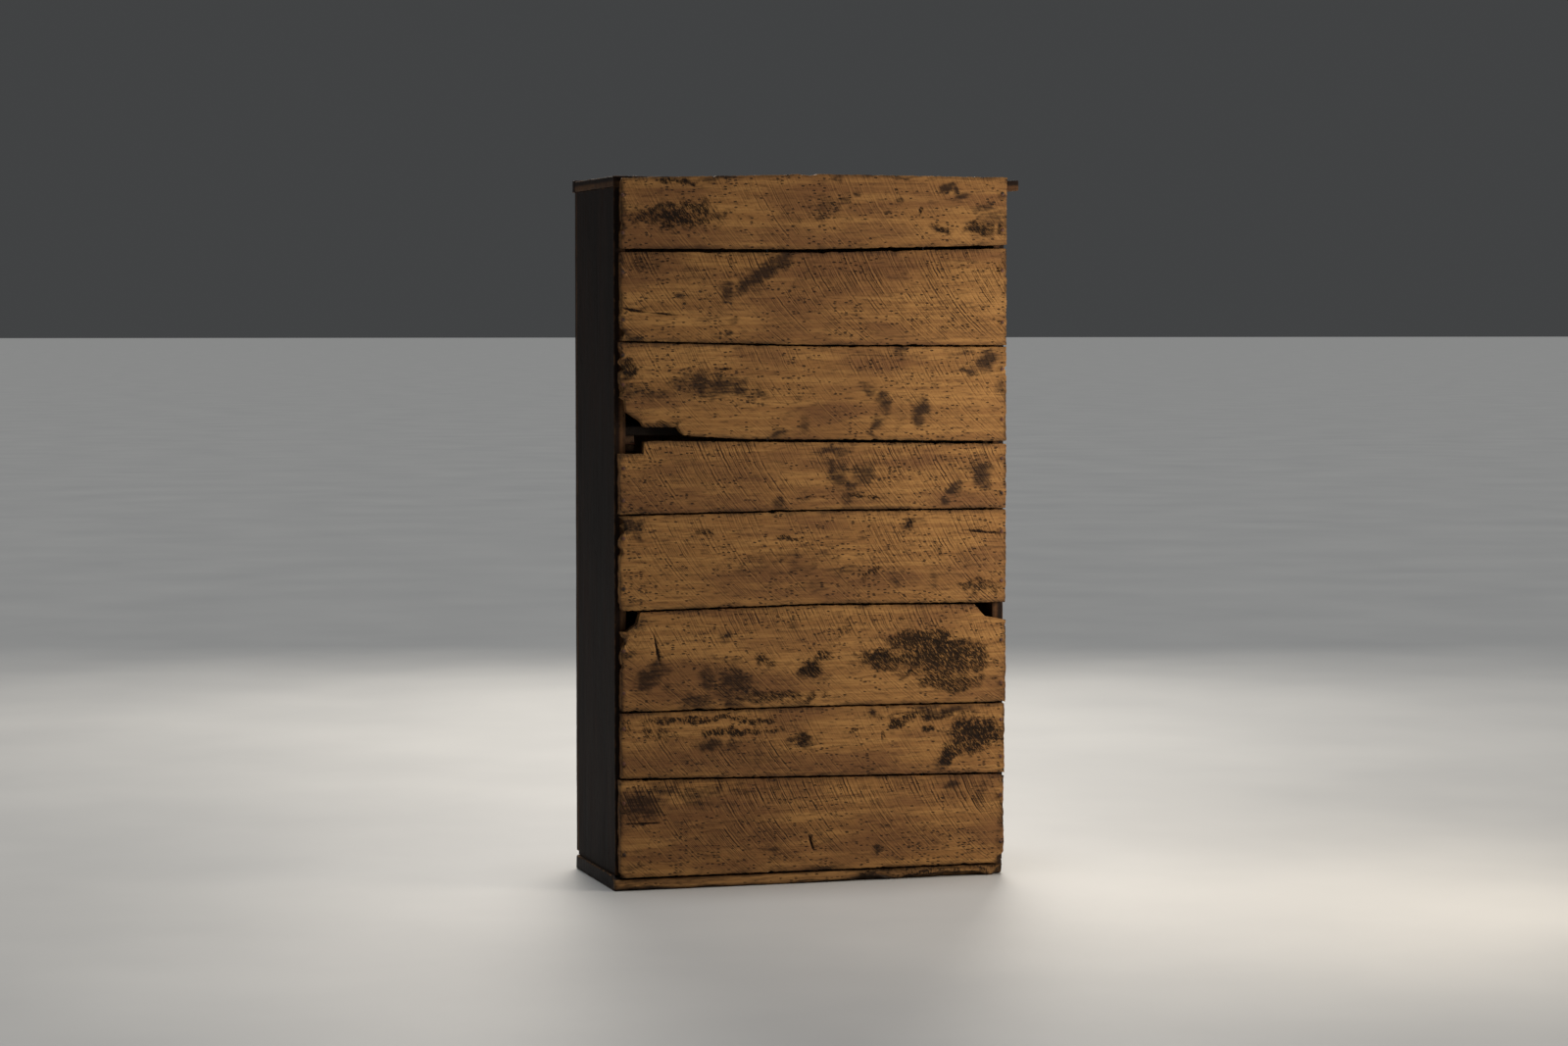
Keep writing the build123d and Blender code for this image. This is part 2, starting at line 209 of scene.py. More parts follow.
def noise(points, seed, layers=2):
    """Smooth noise from about -1 to 1 at points whose unit is the size of its lumps."""
    total = np.zeros(len(points))
    for layer in range(layers):
        scaled = points * 2**layer
        base = np.floor(scaled).astype(np.int64)
        part = scaled - base
        part = part * part * (3 - 2 * part)
        for corner in np.ndindex(2, 2, 2):
            weight = np.prod(np.where(corner, part, 1 - part), axis=1)
            total += weight * (2 * hashed(base + corner, seed + 7 * layer) - 1) / 2**layer
    return total


def ramp(value, start, end):
    """0 before start, 1 after end, and a smooth rise between them."""
    share = np.clip((value - start) / (end - start), 0, 1)
    return share * share * (3 - 2 * share)


print("noise at three points:", noise(np.array([[0.5, 0, 0], [1.5, 2, 0], [3.1, 0.2, 5]]), 1).round(2))

# %% [markdown]
# ## A board as a lattice
# A plain box can't show wear. Here a board is a box whose skin is a fine lattice, in mesh code
# rather than with a Bevel modifier, because its corners have to be worn by a different amount at
# each point. The lattice is denser near the edges, where the rounding is.

# %% Lattice
def lattice_lines(length, cell):
    """Where the lattice's lines cross one side of a board."""
    arris, margin = 0.0012, 0.0028  # two narrow bands along each edge
    count = max(1, round((length - 2 * margin) / cell))
    middle = np.linspace(margin, length - margin, count + 1)
    return np.concatenate([[0, arris], middle, [length - arris, length]])


def box_shell(lines):
    """Points and faces of a box whose skin is divided at the given lines on its three axes."""
    counts = [len(line) for line in lines]
    corners = []
    for axis in range(3):
        u, v = (axis + 1) % 3, (axis + 2) % 3
        i, j = np.meshgrid(np.arange(counts[u] - 1), np.arange(counts[v] - 1), indexing="ij")
        for side in (0, 1):
            quad = np.zeros((i.size, 4, 3), np.int64)
            quad[:, :, axis] = (counts[axis] - 1) * side
            for corner, (step_u, step_v) in enumerate(((0, 0), (1, 0), (1, 1), (0, 1))):
                quad[:, corner, u] = i.ravel() + step_u
                quad[:, corner, v] = j.ravel() + step_v
            corners.append(quad if side else quad[:, ::-1])
    corners = np.concatenate(corners).reshape(-1, 3)
    keys = (corners[:, 0] * counts[1] + corners[:, 1]) * counts[2] + corners[:, 2]
    first, index = np.unique(keys, return_index=True, return_inverse=True)[1:]
    cells = corners[first]
    points = np.stack([lines[k][cells[:, k]] for k in range(3)], axis=1)
    return points, index.reshape(-1, 4)


def rounded(points, size, radius):
    """Wears the edges of a box from 0 to size down to a radius that may differ at each point."""
    inner = np.clip(points, radius, size - radius)
    out = points - inner
    length = np.maximum(np.linalg.norm(out, axis=1, keepdims=True), 1e-9)
    return inner + out * np.where(length > 1e-8, radius / length, 0)


shell_points, shell_faces = box_shell([lattice_lines(0.1, 0.02)] * 3)
print("a test box has", len(shell_points), "points and", len(shell_faces), "faces")


# %% Finished mesh
def make_piece(name, points, faces, finish, nodes, layers):
    """A smooth mesh object with its named layers, which rides for the CAD nodes it replaces."""
    mesh = bpy.data.meshes.new(name)
    mesh.from_pydata(points, [], faces)
    mesh.shade_smooth()
    for layer, values in layers.items():
        kind = "FLOAT_VECTOR" if values.ndim == 2 else "FLOAT"
        attribute = mesh.attributes.new(layer, kind, "POINT")
        attribute.data.foreach_set("vector" if values.ndim == 2 else "value",
                                   values.astype(np.float32).ravel())
    mesh.materials.append(finish)
    piece = bpy.data.objects.new(name, mesh)
    bpy.context.scene.collection.objects.link(piece)
    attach(piece, body_of[nodes[0]])
    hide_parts(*nodes)
    return piece


piece_count = {"boards": 0, "points": 0}


def wear_radius(points, wear, seed):
    """How far an arris is worn back: uneven, with a chip here and there."""
    uneven = 0.55 + 0.45 * noise(points / 0.03, seed)
    chips = np.clip(noise(points / 0.018, seed + 3) - 0.75, 0, 1) * 2.2
    return (wear * (uneven + chips)).clip(0.0003)[:, None]


def edge_distance(points, size):
    """Distance from each point of a box's skin to the nearest arris."""
    return np.sort(np.minimum(points, size - points), axis=1)[:, 1]


def board_number(node):
    """A whole number that belongs to a board, so that no two boards share their noise."""
    return sum(ord(letter) * (place + 3) for place, letter in enumerate(node)) % 997


def grain_shift(seed):
    """Moves a board's grain somewhere else in the noise, so that no two boards match."""
    return 40 * hashed(np.array([[seed, 1, 2], [seed, 5, 7], [seed, 3, 9]]), 5)


print("board number of the top board:", board_number("top_board"))


# %% [markdown]
# ## Wood that was sawn, stained and left
# All the wood is softwood, and one function makes its finishes. Three things make wood look real: long
# fibres in the direction of the grain, the bow-shaped figure that growth rings leave on a board, and what
# happened to it later. For the later part each board carries layers: "marks" for stains, torn grain and
# pits, and on the shelves and the base board's lip also for painted shade, and "cut" for the path of the
# saw, its depth and the nearest edge.

# %% The saw and the dirt
blade_radius = 0.4  # metres
saw_feed = 0.0078  # metres from one deep score to the next
# The colour for dirt is also the base board's stain, and there it paints the shade along the bottom of the
# lip.
dirt_and_painted_shade, grime_brown, hole_brown = "170e08", "24170d", "1d120a"  # in torn grain, by edges, in holes
print("the blade was", 2 * blade_radius, "m across")

# %% Wood
def weathered_wood(name, bare, coat, stain, sawn=1.0, pits=0.3, worn=0.5, rough=0.68, depth=1.0,
                   shine=0.35):
    """Old wood. bare and coat are hex colours of wood and of its stain: light, middle, shade, dark."""
    material, tree, shader = new_material(name)

    def step(name, *values):
        """Adds the node for one step of the finish, and feeds its inputs in order."""
        kind, inputs, out, settings = steps[name]
        return add(tree, kind, dict(zip(inputs, values)), out, **settings)

    def lumps(scale, detail, twist=0.0):
        """Noise with lumps of a given fineness along, across and through the board."""
        return add(tree, "ShaderNodeTexNoise", {"Vector": step("stretch", grain, scale), "Scale": 1.0,
                                                "Detail": detail, "Distortion": twist})

    def spots(scale):
        """Scattered spots: how far the nearest one is, and a chance value that belongs to it."""
        far = add(tree, "ShaderNodeTexVoronoi", {"Vector": step("stretch", grain, scale), "Scale": 1.0})
        return far, add(tree, "ShaderNodeSeparateColor", {0: far.node.outputs[1]})

    grain = add(tree, "ShaderNodeAttribute", out=1, attribute_name="grain")
    marks = add(tree, "ShaderNodeAttribute", out=1, attribute_name="marks")
    cut = add(tree, "ShaderNodeAttribute", out=1, attribute_name="cut")
    coated = add(tree, "ShaderNodeAttribute", out=2, attribute_name="coat")
    shaded = add(tree, "ShaderNodeAttribute", out=2, attribute_name="shade")
    marks = add(tree, "ShaderNodeSeparateXYZ", {0: marks}).node.outputs
    cut = add(tree, "ShaderNodeSeparateXYZ", {0: cut}).node.outputs

    # Fibres are about 1 mm wide and 40 mm long. The wider streaks are bundles of them.
    fine = lumps((28.0, 900.0, 900.0), 3.0)
    wide = lumps((5.0, 130.0, 130.0), 4.0)
    dash = step("minus", lumps((42.0, 240.0, 240.0), 4.0), 0.5)
    tone = step("times plus", shaded, 0.16, lumps((4.0, 16.0, 16.0), 4.0))
    # Figure: contour lines of a field stretched along the board look like cut growth rings.
    field = lumps((1.5, 11.0, 11.0), 1.0)
    rings = step("sine", step("times", field, 85.0))
    rings = step("times", step("ease", rings, 0.1, 1.0), step("ease", tone, 0.35, 0.65, 0.1, 1.0))

    def wood_colour(palette):
        light, middle, shade, dark = (linear(tint) for tint in palette)
        colour = step("mix", step("ease", wide, 0.38, 0.66, 0.1, 0.8), middle, light)
        colour = step("mix", step("ease", tone, 0.42, 0.66, 0.0, 0.75), colour, shade)
        colour = step("mix", step("times", rings, 0.12), colour, dark)
        colour = step("mix", step("ease", dash, 0.01, 0.17, 0.0, 0.42), colour, dark)
        return step("mix", step("ease", fine, 0.52, 0.72, 0.0, 0.36), colour, dark)

    colour = wood_colour(bare)

    # Saw marks: the teeth cut one arc for each step of the feed, some deeper than others.
    wander = lumps((60.0, 60.0, 60.0), 2.0)
    path = step("times plus", wander, 0.0042, cut[0])
    teeth = add(tree, "ShaderNodeTexNoise", {"W": path, "Scale": 280.0, "Detail": 2.0},
                noise_dimensions="1D")
    feed = step("sine", step("times", path, 2 * math.pi / saw_feed))
    deep = step("plus", step("ease", teeth, 0.50, 0.66), step("ease", feed, 0.0, 1.0, 0.0, 0.5))
    patchy = step("ease", lumps((14.0, 26.0, 26.0), 3.0), 0.34, 0.60, 0.20, 1.0)
    broken = step("ease", lumps((90.0, 60.0, 60.0), 3.0), 0.36, 0.56, 0.30, 1.0)
    deep = step("times", step("times", deep, patchy), cut[1])
    deep = step("times", deep, broken)
    # Between the deep scores the ridges are lightened towards the lightest wood colour: a painted
    # highlight.
    ridge_highlight = step("times", step("ease", teeth, 0.48, 0.34), step("times", patchy, 0.34 * sawn))
    colour = step("mix", ridge_highlight, colour, linear(bare[0]))
    colour = step("mix", step("times", deep, 0.72 * sawn), colour, linear(bare[3]))

    # Stains soak in with soft, mottled borders. They run along the fibres and fill the scores.
    mottle = step("minus", lumps((48.0, 66.0, 66.0), 6.0, 0.6), 0.5)
    soaked = step("times plus", mottle, 1.5, marks[0])
    soaked = step("times plus", dash, 1.1, soaked)
    soaked = step("times plus", step("times", deep, marks[0]), 0.5, soaked)
    soaked = step("ease", soaked, 0.06, 1.20, 0.0, 0.93)
    # On the shelves and on the base board's lip this mix also paints shade.
    colour = step("mix", soaked, colour, linear(stain))

    # Torn grain: short ragged flecks that filled up with dirt.
    apart = add(tree, "ShaderNodeSeparateXYZ", {0: grain}).node.outputs
    bent = add(tree, "ShaderNodeCombineXYZ", {0: cut[0], 1: apart[1], 2: apart[2]})
    bent = step("stretch", bent, (330.0, 120.0, 120.0))
    flecks = add(tree, "ShaderNodeTexNoise", {"Vector": bent, "Scale": 1.0, "Detail": 3.0,
                                              "Distortion": 0.9})
    torn = step("times plus", mottle, 1.6, marks[1])
    flecks = step("ease", step("times plus", torn, 0.10, flecks), 0.52, 0.60)
    torn = step("ease", torn, 0.2, 0.75)
    torn_deep = step("times", torn, flecks)
    colour = step("mix", step("times", torn, 0.26), colour, linear(bare[3]))
    colour = step("mix", step("times", torn_deep, 0.93), colour, linear(dirt_and_painted_shade))

    # Pits are torn-out fibres 5 mm long. Worm holes are round and 2 mm wide.
    far, chance = spots((100.0, 260.0, 260.0))
    crowd = step("ease", lumps((12.0, 30.0, 30.0), 3.0), 0.40, 0.66, 0.07 * pits, 0.42 * pits)
    crowd = step("plus", crowd, step("times", marks[2], 0.55))
    pit = step("times", step("below", chance, crowd), step("ease", far, 0.42, 0.22))
    far, chance = spots((75.0, 75.0, 75.0))
    hole = step("times", step("below", chance, 0.22 * pits), step("ease", far, 0.095, 0.06))
    dents = step("larger", pit, hole)

    # Dirt gathers beside the edges, and the coat has rubbed off on them.
    rubbed = step("times plus", mottle, 0.012, cut[2])
    if coat:
        bare_edge = step("ease", rubbed, 0.0035 * worn, 0.0, 0.0, 1.0)
        bare_patch = step("ease", lumps((9.0, 60.0, 60.0), 4.0), 0.70, 0.82, 0.0, worn)
        rubbed_off = step("larger", bare_edge, bare_patch)
        kept = step("times", coated, step("minus", 1.0, rubbed_off))
        colour = step("mix", kept, colour, wood_colour(coat))
    grime = step("times", step("ease", rubbed, 0.009, 0.0, 0.0, 0.65), patchy)
    colour = step("mix", grime, colour, linear(grime_brown))
    colour = step("mix", step("times", dents, 0.8), colour, linear(hole_brown))
    tree.links.new(colour, shader.inputs["Base Color"])

    dull = step("times plus", wide, 0.16, rough - 0.08)
    tree.links.new(step("times plus", torn, 0.12, dull), shader.inputs["Roughness"])
    height = step("times plus", fine, 0.22, step("times", wide, 0.35))
    height = step("times plus", rings, 0.10, height)
    height = step("times plus", deep, -0.55, height)
    height = step("times plus", torn_deep, -1.2, height)
    height = step("times plus", dents, -1.3, height)
    bump = add(tree, "ShaderNodeBump", {"Height": height, "Distance": 0.0011, "Strength": depth})
    tree.links.new(bump, shader.inputs["Normal"])
    shader.inputs["IOR"].default_value = 1.47
    shader.inputs["Specular IOR Level"].default_value = shine
    return material


# Pine straight from a circular saw, mellowed to honey and tobacco brown by a century of air.
rough_pine = weathered_wood("pine_rough_from_the_saw", ("ba8b52", "966a3c", "744d30", "3d2616"),
                            None, "29180c", sawn=1.0, pits=1.0, rough=0.72, shine=0.22)
# Planed pine under an old, almost black brown stain that has worn through at the edges.
dark_coat = ("2a170d", "1c0f08", "130a06", "0b0603")
stained_pine = weathered_wood("pine_planed_and_stained_dark", ("7a5636", "64452b", "503622", "382415"),
                              dark_coat, "150c07", sawn=0.25, pits=0.5, worn=0.34, rough=0.68,
                              depth=0.7, shine=0.16)
# The base board had the same stain, but its back edge was never coated and is worn smooth.
base_pine = weathered_wood("pine_stained_with_a_worn_back_edge",
                           ("b98b55", "85603a", "5a3c24", "2c1b10"), dark_coat, dirt_and_painted_shade,
                           sawn=0.15, pits=0.8, worn=0.4, rough=0.6, depth=1.0, shine=0.2)
# Planed pine that never had a finish: dry, greyed and a little dusty.
# Its near-black stain colour also paints the shade on the shelves' back edges.
bare_pine = weathered_wood("pine_planed_and_left_bare", ("7d5c3c", "674a30", "543b27", "3a2718"), None,
                           "140c07", sawn=0.35, pits=0.6, rough=0.75, depth=0.8)
print("wood finishes:", [m.name for m in (rough_pine, stained_pine, base_pine, bare_pine)])

# %% [markdown]
# ## Where the nails are
# The CAD nails are simple pins. Each one is an island of its node's mesh. The longest side of an
# island's box gives the way a nail points, and its widest ring shows where the head sits.

# %% Find the fixings
def islands(node):
    """The separate solids of a CAD node, as lists of points."""
    work = bmesh.new()
    work.from_mesh(frame["nodes"][node].data)
    bmesh.ops.remove_doubles(work, verts=work.verts, dist=1e-6)
    work.verts.ensure_lookup_table()
    seen, found = set(), []
    for start in work.verts:
        if start.index in seen:
            continue
        seen.add(start.index)
        queue, group = [start], []
        while queue:
            vert = queue.pop()
            group.append(tuple(vert.co))
            for edge in vert.link_edges:
                other = edge.other_vert(vert)
                if other.index not in seen:
                    seen.add(other.index)
                    queue.append(other)
        found.append(np.array(group))
    work.free()
    return found


def fixings(node):
    """(seat of the head, outward direction, length) of each nail or peg in a CAD node."""
    found = []
    for group in islands(node):
        low, high = group.min(0), group.max(0)
        axis = int(np.argmax(high - low))
        middle = (low + high) / 2
        spread = np.delete(group - middle, axis, axis=1)
        radius = np.linalg.norm(spread, axis=1)
        wide = group[radius > radius.max() - 1e-4][:, axis]
        if wide.max() - wide.min() < 0.003:
            sign = 1 if wide.mean() > middle[axis] else -1
            seat = wide.mean()
        else:
            sign = 1 if middle[axis] > 0 else -1
            seat = high[axis] if sign > 0 else low[axis]
        way = np.zeros(3)
        way[axis] = sign
        place = middle.copy()
        place[axis] = seat
        found.append((place, way, float((high - low)[axis])))
    return found


nail_nodes = ["back_plank_nails", "case_nails", "frame_nails", "shelf_nails", "hinge_leaf_nails",
              "left_door_nails", "left_strap_nails", "right_door_nails", "right_strap_nails"]
nail_places = {node: fixings(node) for node in nail_nodes}
all_seats = np.array([place for places in nail_places.values() for place, _, _ in places])
print("nails:", len(all_seats), "of which in the back:", len(nail_places["back_plank_nails"]))

# %% [markdown]
# ## Planed boards
# The case, the frame, the shelves and the doors are planed boards. Each is worn on its edges,
# waves a little on its faces, and keeps its full thickness beside a nail, so that heads sit on it.

# %% Planed board
def planed_board(node, grain, face, finish, cell=0.0045, wear=0.0016, wave=0.0004, coat=0,
                 carve=None, dress=None):
    """A worn board along axis grain and thick along axis face. coat is the side that is stained.
    carve may change the finished points, and dress the layers, given the places before any wear."""
    low, high = (np.array(corner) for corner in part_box(node))
    size = high - low
    seed = board_number(node)
    lines = [lattice_lines(size[k], cell if k != face else 0.005) for k in range(3)]
    flat, faces = box_shell(lines)
    across = 3 - grain - face
    radius = np.minimum(wear_radius(flat + low, wear, seed), 0.45 * size.min())
    edge = edge_distance(flat, size)
    points = rounded(flat, size, radius)

    side = 2 * flat[:, face] / size[face] - 1
    spot = (flat + low).copy()
    spot[:, face] = 9 * np.sign(side)  # so that the two faces don't wave alike
    stretched = spot / np.where(np.arange(3) == grain, 0.09, 0.025)
    depth = wave * (0.6 + 0.6 * noise(stretched, seed + 11, 3)).clip(0)
    nearest = np.full(len(flat), 1.0)
    for seat in all_seats:
        if np.all(seat > low - 0.004) and np.all(seat < high + 0.004):
            nearest = np.minimum(nearest, np.linalg.norm(flat + low - seat, axis=1))
    depth *= ramp(nearest, 0.004, 0.012)
    points[:, face] -= side * depth
    slip = 2 * flat[:, across] / size[across] - 1
    lean = wave * (0.6 + 0.6 * noise((flat + low) / 0.07, seed + 23)).clip(0)
    points[:, across] -= slip**5 * lean

    arc = np.sqrt(blade_radius**2 - (0.14 + 0.2 * flat[:, across] / size[across])**2)
    layers = {
        "grain": np.stack([flat[:, grain], flat[:, across], flat[:, face]], 1) + grain_shift(seed),
        "marks": np.stack([0.9 * ramp(-nearest, -0.011, -0.003), 0 * edge, 0 * edge], 1),
        "cut": np.stack([arc - flat[:, grain], 0.5 + 0 * edge, edge], 1),
        "coat": np.ones(len(flat)) if coat == 0 else ramp(side * coat, -0.35, 0.1),
        "shade": np.zeros(len(flat)),
    }
    if dress:
        dress(flat + low, layers)
    piece_count["boards"] += 1
    piece_count["points"] += len(points)
    if carve:
        points = carve(points + low, flat + low) - low
    return make_piece(f"worn_{node}", points + low, faces, finish, [node], layers)


for hand, side_name in ((1, "right"), (-1, "left")):
    planed_board(f"{side_name}_side", 2, 0, stained_pine, coat=hand)
    planed_board(f"{side_name}_stile", 2, 1, stained_pine, coat=-1)
    for number in (1, 2, 3):
        planed_board(f"{side_name}_door_board_{number}", 2, 1, stained_pine,
                     wear=0.002, coat=-1)
    for level in ("top", "middle", "bottom"):
        planed_board(f"{side_name}_door_batten_{level}", 0, 1, bare_pine,
                     wear=0.002)
    for level in ("upper", "lower"):
        planed_board(f"{level}_{side_name}_cleat", 1, 0, bare_pine)
for node in ("top_rail", "bottom_rail"):
    planed_board(node, 0, 1, stained_pine, coat=-1)
planed_board("top_board", 0, 2, stained_pine, wear=0.0035, coat=1)
planed_board("top_nosing", 0, 1, stained_pine, wear=0.004)


def painted_back_shade(spot, layers):
    """Painted shade: a shelf is darker all over, and almost black along its back edge, inside the
    cupboard.
    """
    layers["marks"][:, 0] = 1.8 * ramp(spot[:, 1], 0.08, 0.13)
    layers["shade"] += 1.5


def worn_corner(points, spot):
    """The upper shelf's back corner has crumbled away behind the broken plank."""
    eaten = ramp(spot[:, 0], 0.20, 0.27) * ramp(spot[:, 1], 0.09, 0.152)
    points[:, 1] -= eaten * (0.014 + 0.003 * noise(spot / 0.02, 91))
    return points


planed_board("upper_shelf", 0, 2, bare_pine, cell=0.006, carve=worn_corner,
             dress=painted_back_shade)
planed_board("lower_shelf", 0, 2, bare_pine, cell=0.006, dress=painted_back_shade)
print(piece_count)

# %% [markdown]
# The base board is rebated along its back: a lower lip runs under the lowest plank. Feet and
# brooms have worn the lip round, and towards one end it still has a waney, bark-eaten edge.

# %% Base board
plank_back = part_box("left_side")[1][1]  # the planks' inner faces
lip_top = 0.0205


def carve_lip(points, spot):
    """Cuts the rebate along the back of the base board and wears its lip away unevenly."""
    lip = ramp(spot[:, 1], plank_back - 0.004, plank_back + 0.001)
    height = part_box("base_board")[1][2]
    waney = ramp(-spot[:, 0], 0.02, 0.10) * (1 - 0.6 * ramp(-spot[:, 0], 0.14, 0.20)
                                             + 0.6 * ramp(-spot[:, 0], 0.22, 0.27))
    points[:, 2] *= 1 - lip * (1 - lip_top / height)
    rear = ramp(spot[:, 1], plank_back + 0.002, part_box("base_board")[1][1])
    lumps = noise(spot / (0.022, 0.01, 0.008), 71, 3)
    points[:, 1] -= rear * (0.0004 + 0.0012 * (1 + lumps).clip(0) * (0.25 + 1.6 * waney))
    sag = np.stack([spot[:, 0] / 0.05, 0 * lip, 0 * lip], 1)
    lift = 0.003 * (1 + noise(sag, 72, 3)).clip(0) * (0.5 + waney)
    lift += 0.016 * ramp(-spot[:, 0], 0.352, 0.380)
    share = np.clip(1 - points[:, 2] / lip_top, 0, 1)
    points[:, 2] += rear * share * lift
    points[:, 0] += lip * 0.006 * ramp(-spot[:, 0], 0.35, 0.378)
    return points


def bare_lip(spot, layers):
    """The lip never had any stain. Painted shade darkens it along its bottom, under the rounded lower
    edge; it is scooped in the middle, crumbly at one end, and darker towards its +X end.
    """
    lip = ramp(spot[:, 1], plank_back + 0.006, plank_back + 0.012)
    along = -spot[:, 0]
    # Painted shade along the bottom of the lip, under its rounded lower edge.
    shaded_foot = 1 - ramp(spot[:, 2], 0.003, 0.011)
    scooped = ramp(along, -0.12, 0.0) * (1 - ramp(along, 0.05, 0.10))
    blackened = ramp(along, 0.05, 0.10) * (1 - ramp(along, 0.13, 0.18))
    crumbly = ramp(along, 0.13, 0.19)
    layers["coat"] = 1 - lip
    layers["marks"][:, 0] += lip * (0.7 * shaded_foot + 0.7 * blackened + 0.4 * ramp(-along, 0.20, 0.37))
    layers["marks"][:, 1] = lip * (0.55 * crumbly + 0.4 * blackened)
    layers["shade"] = -1.6 * lip * (scooped + crumbly)
    layers["cut"][:, 1] *= 1 - lip


planed_board("base_board", 0, 2, base_pine, wear=0.005, cell=0.004,
             carve=carve_lip, dress=bare_lip)
print("lip height:", lip_top)

# %% [markdown]
# ## The rough back planks
# The eight planks of the back came straight from a circular saw: its teeth left bow-shaped
# scores, knots and damp left stains, and some ends are split or broken off. The outline of each
# plank is read from its CAD solid, because that is where the broken corners are. The lattice is
# then stretched between the plank's lower and upper edge.

# %% Outline of a plank
def plank_edges(node, stations):
    """Lower and upper edge of a plank at each station along X."""
    mesh = frame["nodes"][node].data
    corners = np.array([vert.co for vert in mesh.vertices])
    ends = np.array([edge.vertices for edge in mesh.edges])
    first, last = corners[ends[:, 0]], corners[ends[:, 1]]
    run = last[:, 0] - first[:, 0]
    steep = abs(run) < 1e-6
    low, high = [], []
    for x in stations:
        crossing = (first[:, 0] - x) * (last[:, 0] - x) <= 0
        share = (x - first[:, 0]) / np.where(steep, 1, run)
        height = first[:, 2] + np.where(steep, 0, share) * (last[:, 2] - first[:, 2])
        heights = np.concatenate([height[crossing], last[crossing & steep, 2]])
        low.append(heights.min())
        high.append(heights.max())
    return np.array(low), np.array(high)


print("plank 1 near its middle:", [edge.round(3) for edge in plank_edges("back_plank_1", [0.003])])
